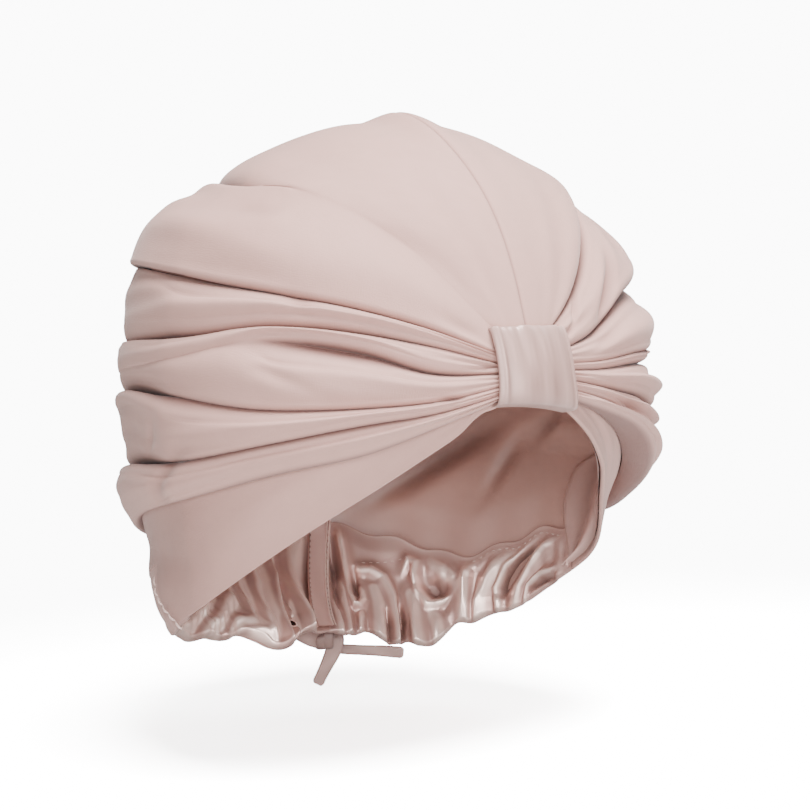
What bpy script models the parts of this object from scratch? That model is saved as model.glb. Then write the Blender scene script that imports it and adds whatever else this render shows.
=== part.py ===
"""Silk sleep turban: a head wrap with folds gathered into a satin loop at the front, a smooth
band, a lining, an elastic casing round the nape, and two ties knotted at the back.

Metres, +Z up. The wearer looks along -Y, and +X is the wearer's left. The origin is where the
top of the head bears against the lining. The wrap keeps its worn form.
"""

import math

import bpy
import numpy as np

# Head form that the band and the lining follow, measured from the form's centre
HALF_WIDTH = 0.112
FRONT_DEPTH = 0.103
BACK_DEPTH = 0.132
CROWN_HEIGHT = 0.135
SIDE_DROP = 0.150
NAPE_DROP = 0.112
BROW_POWER = 1.65   # below 2 the brow narrows in straight lines towards the front
FORM_POWER = 2.1

# Cloth
CLOTH = 0.0015
SATIN = 0.0018
TAPE_CLOTH = 0.0008
CLOTH_GAP = 0.0005
LINING_GAP = 0.0009
SEAM_GAP = 0.0008
HEM_GAP = 0.5       # degrees of elevation between the crown's lower edge and the band's top edge
EDGE_GAP = 0.35     # degrees between the casing's upper edge and those of the band and lining

# Crown: how far it puffs out of the form, and how its folds stand on that
PUFF = 0.016
CROWN_PUFF = 0.0125
EDGE_DRAW = 0.008
SAG = 0.0105
PLEAT_DEPTH = 0.006
PLEAT_BULGE = 0.003
CROWN_START = 22.0  # degrees of elevation where the smooth top goes under the loop
CROWN_END = 125.0   # degrees over the top where it meets the back seam
LOOP_GATHER = 0.25  # share of the folds' depth that is left under the loop

# Front loop
LOOP_WIDTH = 0.036
LOOP_TOP = 28.5     # degrees of elevation
LOOP_BOTTOM = 10.7
LOOP_THICKNESS = 0.0095
LOOP_WAIST = 0.06
# Rows from the loop's upper edge down its face and back up behind the front edge: share of the
# way from LOOP_TOP down to LOOP_BOTTOM, and offset outside the form in shares of LOOP_THICKNESS
LOOP_PROFILE = (
    (0.0, 0.48), (0.06, 0.74), (0.2, 0.92), (0.37, 1.0), (0.62, 1.02), (0.82, 1.0),
    (0.92, 0.85), (1.0, 0.45), (1.01, -0.1), (0.965, -0.62), (0.83, -0.74), (0.66, -0.76),
)

# Casing round the nape
CASING_START = 94.0  # degrees of azimuth where the band's end is tacked down
CASING_HEIGHT = 14.0  # degrees of elevation
CASING_WAVES = 17
CASING_RUFFLE = 0.0024

# Tape over the centre back seam
TAPE_WIDTH = 0.010
TAPE_HEIGHT = 26.0  # degrees of elevation
TAPE_LEAN = 12.5    # degrees of azimuth that its top stands towards the wearer's left

# Ties and their knot
TIE_THICKNESS = 0.003
KNOT_X = 0.0075
KNOT_Y = 0.0870
KNOT_Z = -0.2290
KNOT_WIRE = 0.0016
KNOT_STRETCH = (1.1, 1.2, 1.4)

HALF_TURN = 180.0    # degrees of azimuth from the front to the centre back

# Azimuths, in degrees from the front, of the columns in the tables below
STATIONS = (8, 25, 40, 60, 85, 115, 145, 180)

# Each row is a crease between two folds, from the crown down to the band's top edge. elevation is
# in degrees at each station. depth, in shares of PLEAT_DEPTH, is at the first, a middle and the
# last of DEPTH_STATIONS. bulge, in shares of PLEAT_BULGE at BULGE_STATIONS, is that of the fold
# above the crease, and swell, in shares of PUFF at BULGE_STATIONS, how far the cloth stands out
# at the crease beyond the puff of all folds.
DEPTH_STATIONS = (8, 60, 180)
BULGE_STATIONS = (8, 60, 110, 180)
FOLD_COLUMNS = ("name", "elevation", "depth", "bulge", "swell")
FOLDS_RIGHT = (
    ("top_fold", (30, 45, 50.5, 55.5, 57.5, 58, 53, 40),
     (0.2, 0.15, 0.2), (0, 0, 0, 0), (0, 0, 0.1, 0)),
    ("deep_fold", (23.6, 30, 33, 35.6, 37.7, 38, 35, 27),
     (0.4, 0.7, 0.5), (1, 1, 2.6, 1), (0, 0.05, 0.52, 0.1)),
    ("pocket", (21.8, 26.4, 28.6, 29.7, 27.3, 24.5, 21, 15),
     (0.25, 1, 0.5), (1, 0.5, 0.2, 0.5), (0, 0, 0, 0)),
    ("short_fold", (19.6, 20.8, 24.7, 26.3, 22.5, 19.5, 14, 7),
     (0.4, 0.3, 0.2), (0, 0.6, 0.3, 0.4), (0, 0, 0, 0)),
    ("middle_fold", (16.8, 14.4, 13.4, 13.2, 15.2, 14.5, 8, -2),
     (0.4, 0.7, 0.7), (1, 1, 0.3, 0.6), (0, 0, 0, 0)),
    ("low_fold", (15.1, 11.8, 9.9, 6.5, 2.2, -0.8, -6, -13),
     (0.4, 0.6, 0.4), (0.8, 0.8, -0.8, 0.6), (0, 0, -0.1, 0)),
    ("band_edge", (14.2, 9.1, 4.6, 0.9, -5, -11.5, -19, -26),
     (0.4, 0.6, 0.6), (0.8, 0.8, 0.4, 0.6), (0, 0, -0.15, 0)),
)
FOLDS_LEFT = (
    ("top_fold", (28, 36.3, 44.5, 52, 57, 58, 53, 40),
     (0.3, 0.7, 0.2), (0, 0, 0, 0), (0, 0, 0, 0)),
    ("tube_fold", (23.2, 26.8, 31.8, 33.5, 36, 37, 35, 27),
     (0.4, 0.8, 0.6), (1, 2.4, 2.0, 1), (0, 0.15, 0.1, 0.1)),
    ("upper_fold", (20.8, 19.9, 19.7, 18.6, 20, 20, 19, 15),
     (0.5, 1, 0.5), (1, 1.7, 1, 0.5), (0, 0, 0, 0)),
    ("short_fold", (19.2, 18, 17.3, 15.8, 14.5, 13, 11, 7),
     (0.4, 0.9, 0.2), (0, 0.2, 0.3, 0.4), (0, 0, 0, 0)),
    ("middle_fold", (17.7, 14.2, 10.8, 5.8, 5.5, 5, 2, -2),
     (0.4, 0.6, 0.7), (1, 1, 1, 0.6), (0, 0, 0, 0)),
    ("low_fold", (15.7, 11.2, 6, -0.5, -4, -7.5, -10.5, -13),
     (0.4, 0.8, 0.4), (0.8, 0.8, 0.7, 0.6), (0, 0, 0, 0)),
    ("band_edge", (14.2, 9.1, 3.4, -5, -14.5, -18, -22, -26),
     (0.4, 0.6, 0.6), (0.8, 1, 0.8, 0.6), (0, 0, 0, 0)),
)

# The wrap's lower edge and the puff of the folds, at each station. puff is in shares of PUFF,
# top_puff in shares of CROWN_PUFF, and tuck, how far the edge draws in under the form, in
# shares of EDGE_DRAW.
EDGE_ELEVATION = (13.2, 3.5, -5.5, -16.5, -27.5, -38, -47.5, -50)
EDGE_TUCK = (0.0, 0.25, 0.6, 1.0, -0.05, -0.65, -0.4, 0.0)
PUFF_SHARE = (0.11, 0.50, 0.85, 1.0, 0.75, 0.62, 0.58, 0.50)
TOP_PUFF_SHARE = (0.12, 0.35, 0.62, 0.9, 1.0, 1.0, 0.9, 0.75)
TUCK_SPAN = 14.0    # degrees above the edge over which it draws in

# How far the wrap sags below the form behind the ears, in shares of SAG at each station. It
# grows from nothing at the form's widest level to its whole at SAG_SPAN degrees below that.
SAG_RIGHT = (0.0, 0.0, 0.0, 0.0, 0.0, -0.40, -0.45, 0.0)
SAG_LEFT = (0.0, 0.0, 0.0, 0.10, 0.50, 0.85, 1.0, 0.0)
SAG_SPAN = 40.0

# Places along a fold, from the crease above it to the crease below it, that the mesh samples
FOLD_SAMPLES = (0.0, 0.28, 0.62, 0.88)
TOP_SAMPLES = (0.0, 0.25, 0.5, 0.75)
CROWN_COLUMNS = 18
FRONT_COLUMNS = 14
BACK_COLUMNS = 10
COLUMN_STEP = 0.4   # degrees, on each side of the casing's end
BAND_ROWS = 5
LINING_ROWS = 15
WAVE_POINTS = 6     # along each wave of the casing
TAPE_ROWS = 9

# Routes of the two ties, in millimetres, from where each leaves the casing to its free end
TIE_RIGHT_ROUTE_MM = (
    (-13.8, 93.5, -216.3), (-10.0, 93.8, -218.4), (-5.5, 93.0, -220.4), (-0.8, 91.2, -222.2),
    (3.4, 88.8, -224.0), (5.4, 87.2, -226.3), (5.6, 87.0, -229.5), (5.9, 86.9, -233.5),
    (6.1, 86.8, -238.0), (5.7, 86.9, -243.0), (4.7, 87.1, -248.0), (3.2, 87.3, -253.0),
)
TIE_LEFT_ROUTE_MM = (
    (26.4, 91.6, -221.5), (21.7, 92.2, -222.2), (17.5, 91.7, -222.3), (13.8, 89.8, -222.5),
    (10.8, 88.1, -224.0), (9.5, 87.1, -226.3), (9.4, 87.0, -229.5), (9.9, 87.0, -232.6),
    (13.0, 86.7, -235.6), (18.5, 85.5, -237.4), (25.5, 83.4, -238.6), (32.5, 80.8, -239.6),
    (40.0, 77.4, -240.7), (47.0, 73.6, -242.0),
)
TIE_POINTS = 20

COLOURS = {
    "silk": (0.62, 0.49, 0.46),
    "satin": (0.66, 0.53, 0.50),
    "lining": (0.34, 0.21, 0.18),
}


def curve_through(places, stations, values):
    """Smooth curve through a table row: cubic pieces with the chord's slope at each station."""
    stations = np.asarray(stations, float)
    values = np.asarray(values, float)
    slopes = np.gradient(values, stations)
    places = np.clip(places, stations[0], stations[-1])
    piece = np.clip(np.searchsorted(stations, places) - 1, 0, len(stations) - 2)
    span = stations[piece + 1] - stations[piece]
    share = (places - stations[piece]) / span
    start_weight = 2 * share**3 - 3 * share**2 + 1
    end_weight = 1 - start_weight
    start_slope = share**3 - 2 * share**2 + share
    end_slope = share**3 - share**2
    return (start_weight * values[piece] + end_weight * values[piece + 1]
            + span * (start_slope * slopes[piece] + end_slope * slopes[piece + 1]))


def ease(share):
    """Smooth step from 0 to 1."""
    share = np.clip(share, 0.0, 1.0)
    return share * share * (3 - 2 * share)


def direction(azimuth, elevation):
    """Unit vector for an azimuth from the front, towards +X, and an elevation, in degrees."""
    azimuth, elevation = np.broadcast_arrays(np.radians(azimuth), np.radians(elevation))
    return np.stack([np.sin(azimuth) * np.cos(elevation),
                     -np.cos(azimuth) * np.cos(elevation),
                     np.sin(elevation)], -1)


def form_radius(ray):
    """Distance from the form's centre to its surface along unit vectors."""
    level = np.maximum(np.hypot(ray[..., 0], ray[..., 1]), 1e-9)
    side, depth = np.abs(ray[..., 0]) / level, ray[..., 1] / level
    power = np.where(depth < 0, BROW_POWER, FORM_POWER)
    reach = np.where(depth < 0, FRONT_DEPTH, BACK_DEPTH)
    level_radius = ((side / HALF_WIDTH)**power + (np.abs(depth) / reach)**power)**(-1 / power)
    drop = SIDE_DROP + (NAPE_DROP - SIDE_DROP) * np.clip(depth, 0, 1)**2
    height = np.where(ray[..., 2] > 0, CROWN_HEIGHT, drop)
    return ((level / level_radius)**FORM_POWER
            + (np.abs(ray[..., 2]) / height)**FORM_POWER)**(-1 / FORM_POWER)


def sag_drop(ray):
    """How far the wrap hangs below the form along unit vectors."""
    azimuth = np.degrees(np.arctan2(np.abs(ray[..., 0]), -ray[..., 1]))
    share = np.where(ray[..., 0] > 0, curve_through(azimuth, STATIONS, SAG_LEFT),
                     curve_through(azimuth, STATIONS, SAG_RIGHT))
    return SAG * share * ease(-np.degrees(np.arcsin(np.clip(ray[..., 2], -1, 1))) / SAG_SPAN)


def form_point(ray, offset):
    """Point at an offset outside the form along unit vectors."""
    centre = np.array([0.0, 0.0, -(CROWN_HEIGHT - LINING_GAP - 2 * CLOTH)])
    point = centre + ray * (form_radius(ray) + offset)[..., None]
    point[..., 2] -= sag_drop(ray)
    return point


def edge_tuck(azimuth, elevation):
    """How far cloth near the lower edge draws in under the form."""
    azimuth = np.abs(azimuth)
    above = elevation - curve_through(azimuth, STATIONS, EDGE_ELEVATION)
    return EDGE_DRAW * curve_through(azimuth, STATIONS, EDGE_TUCK) * ease(1 - above / TUCK_SPAN)


def level_columns():
    """Azimuths from the front to the back that the band and the lining share, so that their
    flat facets lie alike. Two close ones make the step where the casing starts."""
    front = np.linspace(0, CASING_START - COLUMN_STEP, FRONT_COLUMNS)
    back = np.linspace(CASING_START + COLUMN_STEP, STATIONS[-1], BACK_COLUMNS)
    return np.concatenate([front, back])


def cloth_piece(name, points, wall, material, collection, ring=False):
    """Open surface through a grid of points, with its thickness towards the head."""
    rows, columns = points.shape[:2]
    index = np.arange(rows * columns).reshape(rows, columns)
    if ring:
        index = np.concatenate([index, index[:, :1]], axis=1)
    faces = np.stack([index[:-1, :-1], index[:-1, 1:], index[1:, 1:], index[1:, :-1]], -1)
    mesh = bpy.data.meshes.new(name)
    mesh.from_pydata(points.reshape(-1, 3).tolist(), [], faces.reshape(-1, 4).tolist())
    mesh.materials.append(material)
    piece = bpy.data.objects.new(name, mesh)
    collection.objects.link(piece)
    thickness = piece.modifiers.new("Cloth", "SOLIDIFY")
    thickness.thickness = wall
    thickness.offset = -1
    mesh.shade_smooth()
    return piece


def crown_half(name, side, folds, material, collection):
    """Half of the crown, from the centre seam down through its folds to the band's top edge."""
    share = np.linspace(0, 1, CROWN_COLUMNS + 1)**1.3
    azimuth = STATIONS[0] + (STATIONS[-1] - STATIONS[0]) * share
    over_top = CROWN_START + (CROWN_END - CROWN_START) * share
    seam = np.stack([0 * share, -np.cos(np.radians(over_top)), np.sin(np.radians(over_top))], -1)
    lines = [dict(zip(FOLD_COLUMNS, row)) for row in folds]
    heights = [curve_through(azimuth, STATIONS, line["elevation"]) for line in lines]
    depths = [PLEAT_DEPTH * curve_through(azimuth, DEPTH_STATIONS, line["depth"])
              for line in lines]
    bulges = [PLEAT_BULGE * curve_through(azimuth, BULGE_STATIONS, line["bulge"])
              for line in lines]
    gather = LOOP_GATHER + (1 - LOOP_GATHER) * ease((azimuth - STATIONS[0]) / STATIONS[2])
    puffs = [PUFF * (curve_through(azimuth, STATIONS, PUFF_SHARE)
                     + curve_through(azimuth, BULGE_STATIONS, line["swell"])) for line in lines]
    top_puff = CROWN_PUFF * curve_through(azimuth, STATIONS, TOP_PUFF_SHARE)
    rows = []
    top_ray = direction(side * azimuth, heights[0])
    for place in TOP_SAMPLES:
        ray = seam * (1 - place) + top_ray * place
        ray /= np.linalg.norm(ray, axis=-1, keepdims=True)
        offset = top_puff + (puffs[0] - top_puff) * ease(place) - depths[0] * gather * place**6
        rows.append(form_point(ray, offset))
    for above, below in zip(range(len(lines)), range(1, len(lines))):
        last = below == len(lines) - 1
        for place in FOLD_SAMPLES + ((0.97, 1.0) if last else ()):
            height = heights[above] * (1 - place) + (heights[below] + HEM_GAP * last) * place
            puff = puffs[above] * (1 - place) + puffs[below] * place
            floor = puff - CLOTH_GAP if last else depths[below] * gather
            bulge = bulges[below] * math.sin(math.pi * place)
            valley = depths[above] * (1 - place)**3 * gather + floor * place**(40 if last else 9)
            ray = direction(side * azimuth, height)
            rows.append(form_point(ray, puff + bulge * gather - valley))
    points = np.array(rows)
    points[..., 0] = side * np.maximum(side * points[..., 0], SEAM_GAP / 2)
    return cloth_piece(name, points[:, ::-int(side)], CLOTH, material, collection)


def band_half(name, side, folds, material, collection):
    """Half of the smooth band, from under the loop round to the centre back."""
    azimuth = level_columns()[1:]
    top = curve_through(azimuth, STATIONS, folds[-1][1])
    low = curve_through(azimuth, STATIONS, EDGE_ELEVATION)
    low = np.where(azimuth > CASING_START, low + CASING_HEIGHT, low)
    place = np.linspace(0, 1, BAND_ROWS)[:, None]
    elevation = top * (1 - place) + low * place
    points = form_point(direction(side * azimuth, elevation), -edge_tuck(azimuth, elevation))
    points[..., 0] = side * np.maximum(side * points[..., 0], SEAM_GAP / 2)
    return cloth_piece(name, points[:, ::-int(side)], CLOTH, material, collection)


def lining_piece(material, collection):
    """Lining of the whole wrap, from the casing and the front edge up to the crown."""
    half = level_columns()
    azimuth = np.concatenate([-half[:0:-1], half[:-1]])
    low = curve_through(np.abs(azimuth), STATIONS, EDGE_ELEVATION)
    low = np.where(np.abs(azimuth) > CASING_START, low + CASING_HEIGHT, low) + EDGE_GAP
    place = np.linspace(0, 1, LINING_ROWS)[:, None]**0.8
    elevation = 89.5 * (1 - place) + low * place
    offset = -CLOTH - LINING_GAP - edge_tuck(azimuth, elevation)
    points = form_point(direction(azimuth, elevation), offset)
    piece = cloth_piece("lining", points[:, ::-1], CLOTH, material, collection, ring=True)
    return piece


def casing_piece(material, collection):
    """Gathered elastic casing round the nape, waved towards its lower edge."""
    start = CASING_START + COLUMN_STEP
    azimuth = np.linspace(start, 360 - start, CASING_WAVES * WAVE_POINTS + 1)
    from_front = HALF_TURN - np.abs(azimuth - HALF_TURN)
    low = curve_through(from_front, STATIONS, EDGE_ELEVATION)
    calm = ease((HALF_TURN - from_front) / 8) * ease((from_front - CASING_START) / 6)
    turn = CASING_WAVES * 2 * math.pi * (azimuth - azimuth[0]) / (azimuth[-1] - azimuth[0])
    wave = np.sin(turn + 0.7 * np.sin(turn / 3.1)) * calm
    place = np.array([0.0, 0.35, 0.7, 1.0])[:, None]
    droop = np.degrees(0.5 * CASING_RUFFLE / HALF_WIDTH) * wave * place
    elevation = low + (CASING_HEIGHT - EDGE_GAP) * (1 - place) - droop
    offset = CASING_RUFFLE * wave * (0.2 + 0.8 * place) - edge_tuck(from_front, elevation)
    points = form_point(direction(azimuth, elevation), offset)
    return cloth_piece("back_casing", points[:, ::-1], SATIN, material, collection)


def loop_piece(material, collection):
    """Satin loop at the front: a band over the gathers that turns under the front edge."""
    across = np.linspace(-1, 1, 11)
    rows = []
    for down, share in LOOP_PROFILE:
        waist = 1 - LOOP_WAIST * math.sin(math.pi * (1 - down))
        azimuth = np.degrees(across * waist * LOOP_WIDTH / 2 / FRONT_DEPTH)
        elevation = np.full(azimuth.shape, LOOP_TOP + (LOOP_BOTTOM - LOOP_TOP) * down)
        rounding = LOOP_THICKNESS * share * (1 - LOOP_WAIST * across**4)
        rows.append(form_point(direction(azimuth, elevation), rounding))
    return cloth_piece("front_loop", np.array(rows)[:, ::-1], SATIN, material, collection)


def tape_piece(material, collection):
    """Tape over the centre back seam, inside the casing and the lining, leaning as it rises."""
    low = EDGE_ELEVATION[-1] + EDGE_GAP
    elevation = np.linspace(low + TAPE_HEIGHT, low, TAPE_ROWS)[:, None]
    back = direction(STATIONS[-1], elevation)
    across = np.linspace(-0.5, 0.5, 3) * TAPE_WIDTH
    level_radius = form_radius(back) * np.cos(np.radians(elevation))
    lean = TAPE_LEAN * (elevation - low) / TAPE_HEIGHT
    azimuth = STATIONS[-1] - lean - np.degrees(across / level_radius)
    offset = np.full(azimuth.shape, -2 * CLOTH - LINING_GAP - 2 * CLOTH_GAP)
    points = form_point(direction(azimuth, elevation), offset)
    return cloth_piece("seam_tape", points, TAPE_CLOTH, material, collection)


def tie_piece(name, route, material, collection):
    """Tie along a smooth curve through its route."""
    route = np.array(route) / 1000
    run = np.concatenate([[0], np.cumsum(np.linalg.norm(np.diff(route, axis=0), axis=1))])
    places = np.linspace(0, run[-1], TIE_POINTS)
    points = np.stack([curve_through(places, run, route[:, axis]) for axis in range(3)], -1)
    curve = bpy.data.curves.new(name, "CURVE")
    curve.dimensions = "3D"
    curve.bevel_depth = TIE_THICKNESS / 2
    curve.bevel_resolution = 2
    curve.use_fill_caps = True
    spline = curve.splines.new("POLY")
    spline.points.add(len(points) - 1)
    for spline_point, place in zip(spline.points, points):
        spline_point.co = (*place, 1)
    curve.materials.append(material)
    piece = bpy.data.objects.new(name, curve)
    collection.objects.link(piece)
    return piece


def knot_piece(material, collection):
    """Knot that holds both ties: a squashed ring round them."""
    hole = TIE_THICKNESS + CLOTH_GAP
    bpy.ops.mesh.primitive_torus_add(major_segments=16, minor_segments=8, align="WORLD",
                                     location=(KNOT_X, KNOT_Y, KNOT_Z),
                                     major_radius=hole + KNOT_WIRE, minor_radius=KNOT_WIRE)
    piece = bpy.context.object
    piece.name = "tie_knot"
    flat = (TIE_THICKNESS / 2 + CLOTH_GAP + KNOT_WIRE) / (hole + KNOT_WIRE)
    piece.scale = (KNOT_STRETCH[0], KNOT_STRETCH[1] * flat, KNOT_STRETCH[2])
    bpy.ops.object.transform_apply(location=False, rotation=False, scale=True)
    piece.data.materials.append(material)
    for owner in piece.users_collection:
        owner.objects.unlink(piece)
    collection.objects.link(piece)
    return piece


def plain_material(name, colour, roughness):
    """Principled material with a colour and a roughness."""
    material = bpy.data.materials.new(name)
    material.use_nodes = True
    shader = material.node_tree.nodes["Principled BSDF"]
    shader.inputs["Base Color"].default_value = (*colour, 1)
    shader.inputs["Roughness"].default_value = roughness
    shader.inputs["Metallic"].default_value = 0
    return material


def main():
    for item in list(bpy.data.objects):
        bpy.data.objects.remove(item)
    collection = bpy.data.collections.new("sleep_turban")
    bpy.context.scene.collection.children.link(collection)

    def silk(name):
        return plain_material(name, COLOURS["silk"], 0.6)

    def satin(name):
        return plain_material(name, COLOURS["satin"], 0.35)

    crown_half("crown_right", -1, FOLDS_RIGHT, silk("crown_right"), collection)
    crown_half("crown_left", 1, FOLDS_LEFT, silk("crown_left"), collection)
    band_half("band_right", -1, FOLDS_RIGHT, silk("band_right"), collection)
    band_half("band_left", 1, FOLDS_LEFT, silk("band_left"), collection)
    lining_piece(plain_material("lining", COLOURS["lining"], 0.4), collection)
    casing_piece(satin("back_casing"), collection)
    loop_piece(satin("front_loop"), collection)
    tape_piece(satin("seam_tape"), collection)
    tie_piece("tie_right", TIE_RIGHT_ROUTE_MM, satin("tie_right"), collection)
    tie_piece("tie_left", TIE_LEFT_ROUTE_MM, satin("tie_left"), collection)
    knot_piece(satin("tie_knot"), collection)


main()
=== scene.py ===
"""Silk sleep turban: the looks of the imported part.

Metres, +Z up. The wearer looks along -Y, +X is the wearer's left, and the origin is where the top
of the head bears against the lining. All cloth is worked out on one form, whose points are given
by an azimuth from the front, an elevation above the form's centre, and an offset outside it.
"""

import math

import bpy
import numpy as np
from bpy.props import FloatProperty, FloatVectorProperty, PointerProperty
from mathutils import Matrix, Vector


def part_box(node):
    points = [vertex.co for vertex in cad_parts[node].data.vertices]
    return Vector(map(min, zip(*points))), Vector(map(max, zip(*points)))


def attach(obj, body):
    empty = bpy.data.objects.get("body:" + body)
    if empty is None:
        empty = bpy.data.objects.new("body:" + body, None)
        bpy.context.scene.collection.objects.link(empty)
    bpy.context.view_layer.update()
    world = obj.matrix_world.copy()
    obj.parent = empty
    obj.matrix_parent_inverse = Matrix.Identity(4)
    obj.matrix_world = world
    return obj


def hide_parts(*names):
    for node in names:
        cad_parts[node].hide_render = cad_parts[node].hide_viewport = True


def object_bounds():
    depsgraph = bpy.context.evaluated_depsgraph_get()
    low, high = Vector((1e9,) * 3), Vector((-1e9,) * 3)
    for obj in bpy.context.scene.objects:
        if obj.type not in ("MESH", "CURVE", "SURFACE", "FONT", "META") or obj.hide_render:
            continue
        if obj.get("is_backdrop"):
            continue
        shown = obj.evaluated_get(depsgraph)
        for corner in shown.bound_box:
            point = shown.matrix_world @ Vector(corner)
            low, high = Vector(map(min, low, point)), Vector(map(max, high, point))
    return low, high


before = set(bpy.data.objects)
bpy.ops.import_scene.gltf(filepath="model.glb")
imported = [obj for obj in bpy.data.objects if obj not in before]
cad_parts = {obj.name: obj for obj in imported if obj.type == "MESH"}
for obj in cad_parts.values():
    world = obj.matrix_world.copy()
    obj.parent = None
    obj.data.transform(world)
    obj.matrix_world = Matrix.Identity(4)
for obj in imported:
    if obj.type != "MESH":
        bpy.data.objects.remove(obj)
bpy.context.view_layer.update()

bl_info = {
    "name": "Silk Sleep Turban",
    "version": (1, 0, 0),
    "blender": (4, 5, 0),
    "location": "View3D > Sidebar > Turban",
    "description": "Makes the cloth, ties and stitches of a silk sleep turban in its worn form",
    "category": "Object",
}

# Form of the wrap, with the same sizes as the solids that the cloth replaces
HALF_WIDTH = 0.112
FRONT_DEPTH = 0.103
BACK_DEPTH = 0.132
CROWN_HEIGHT = 0.135
SIDE_DROP = 0.150
NAPE_DROP = 0.112
BROW_POWER = 1.65
FORM_POWER = 2.1
FORM_CENTRE = np.array([0.0, 0.0, -0.1311])
BODY_RADIUS = 0.125     # the form's mean radius, by which degrees become metres
PUFF = 0.016
CROWN_PUFF = 0.0125
EDGE_DRAW = 0.008
SAG = 0.0105
SAG_SPAN = 40.0
TUCK_SPAN = 14.0
CLOTH = 0.0015
CASING_START = 94.0
CASING_FIRST = CASING_START + 0.4
CASING_HEIGHT = 14.0
BAND_END = 100.0
BAND_HEM = 0.0011
LINING_OFFSET = -0.0028
TAPE_WIDTH = 0.0122
TAPE_HEIGHT = 26.0
TAPE_LEAN = 12.5

# Sizes over azimuth from the front, at these stations
STATIONS = (8, 25, 40, 60, 85, 115, 145, 180)
FIRST_COLUMN = STATIONS[0]
COLUMN_SPAN = STATIONS[-1] - STATIONS[0]
EDGE_ELEVATION = (13.2, 3.5, -5.5, -16.5, -27.5, -38, -47.5, -50)
EDGE_TUCK = (0.0, 0.25, 0.6, 1.0, -0.05, -0.65, -0.4, 0.0)
PUFF_SHARE = (0.22, 0.50, 0.85, 1.0, 0.75, 0.62, 0.58, 0.50)
TOP_PUFF_SHARE = (0.30, 0.42, 0.58, 0.76, 0.80, 0.80, 0.76, 0.70)
SAG_RIGHT = (0.0, 0.0, 0.0, 0.0, 0.0, -0.40, -0.45, 0.0)
SAG_LEFT = (0.0, 0.0, 0.0, 0.10, 0.50, 0.85, 1.0, 0.0)
TAPE_FOOT = EDGE_ELEVATION[-1] - 1.6

# First and last angle of the crown's centre seam, from the front level over the top
SEAM_START = 22
SEAM_END = 125

# Creases of each half of the crown, from its top down. elevation is in degrees at each of
# STATIONS, depth in millimetres at DEPTH_STATIONS. curl and rise are how far in degrees the fold
# above and the fold below turn into the crease at TURN_STATIONS. bulge is the height in
# millimetres of the fold above and swell how far the crease stands out in shares of PUFF, both
# at BULGE_STATIONS. stand is how far in millimetres the fold above stands out at the wrap's side,
# at its upper and at its lower edge.
DEPTH_STATIONS = (8, 25, 45, 70, 100, 180)
TURN_STATIONS = (8, 45, 80, 105, 180)
BULGE_STATIONS = (8, 60, 110, 180)
CREASE_COLUMNS = ("name", "elevation", "depth", "curl", "rise", "bulge", "swell", "stand")
CREASES_RIGHT = (
    ("top_fold", (28.5, 44.2, 50.8, 55.5, 57.5, 58, 53, 40), (0.1, 0.1, 0.15, 0.7, 3.6, 2.5),
     (30, 30, 30, 60, 40), (30, 30, 60, 95, 70), (0, 0, 0, 0), (0, 0, 0.1, 0), (0, 0)),
    ("deep_fold", (23.6, 30, 33, 35.6, 37.7, 38, 35, 27), (1.8, 2.8, 2.8, 3.8, 2.6, 3.0),
     (120, 112, 138, 142, 130), (42, 38, 34, 96, 80), (2, 4, 3, 3), (0, 0.05, 0.30, 0.1), (2.5, 6)),
    ("pocket", (21.8, 26.4, 28.6, 29.7, 27.3, 24.5, 21, 15), (1.6, 2.4, 5.6, 9.5, 3.8, 3.0),
     (110, 122, 128, 60, 70), (45, 50, 60, 118, 80), (1.5, 2.4, 1, 1.5), (0, 0, 0, 0), (1.5, 0)),
    ("short_fold", (19.6, 20.8, 24.7, 26.3, 22.5, 19.5, 14, 7), (2.0, 3.8, 5.0, 0.1, 0.05, 0.05),
     (105, 100, 60, 60, 60), (35, 32, 30, 30, 30), (0.5, 1.5, 0.8, 1.4), (0, 0, 0, 0), (0.5, -1.0)),
    ("middle_fold", (16.8, 14.4, 13.4, 13.2, 15.2, 14.5, 8, -2), (2.0, 3.0, 2.8, 3.4, 4.4, 3.5),
     (135, 118, 118, 70, 110), (42, 34, 40, 120, 60), (2, 3, 1, 1.8), (0, 0, 0, 0), (-2.5, -9)),
    ("low_fold", (15.1, 11.8, 9.9, 6.5, 2.2, -0.8, -6, -13), (1.8, 2.8, 3.2, 3.6, 3.8, 3.0),
     (125, 118, 115, 75, 110), (42, 38, 40, 118, 60), (1, 2, -1, 1.8), (0, 0, -0.1, 0),
     (-0.5, -8.5)),
    ("band_edge", (14.2, 9.1, 4.6, 0.9, -5, -11.5, -19, -26), (0, 0, 0, 0, 0, 0),
     (150, 150, 150, 150, 150), (30, 30, 30, 30, 30), (1, 1.5, 2, 1.8), (0, -0.35, -0.1, 0),
     (-1, -5)),
)
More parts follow.
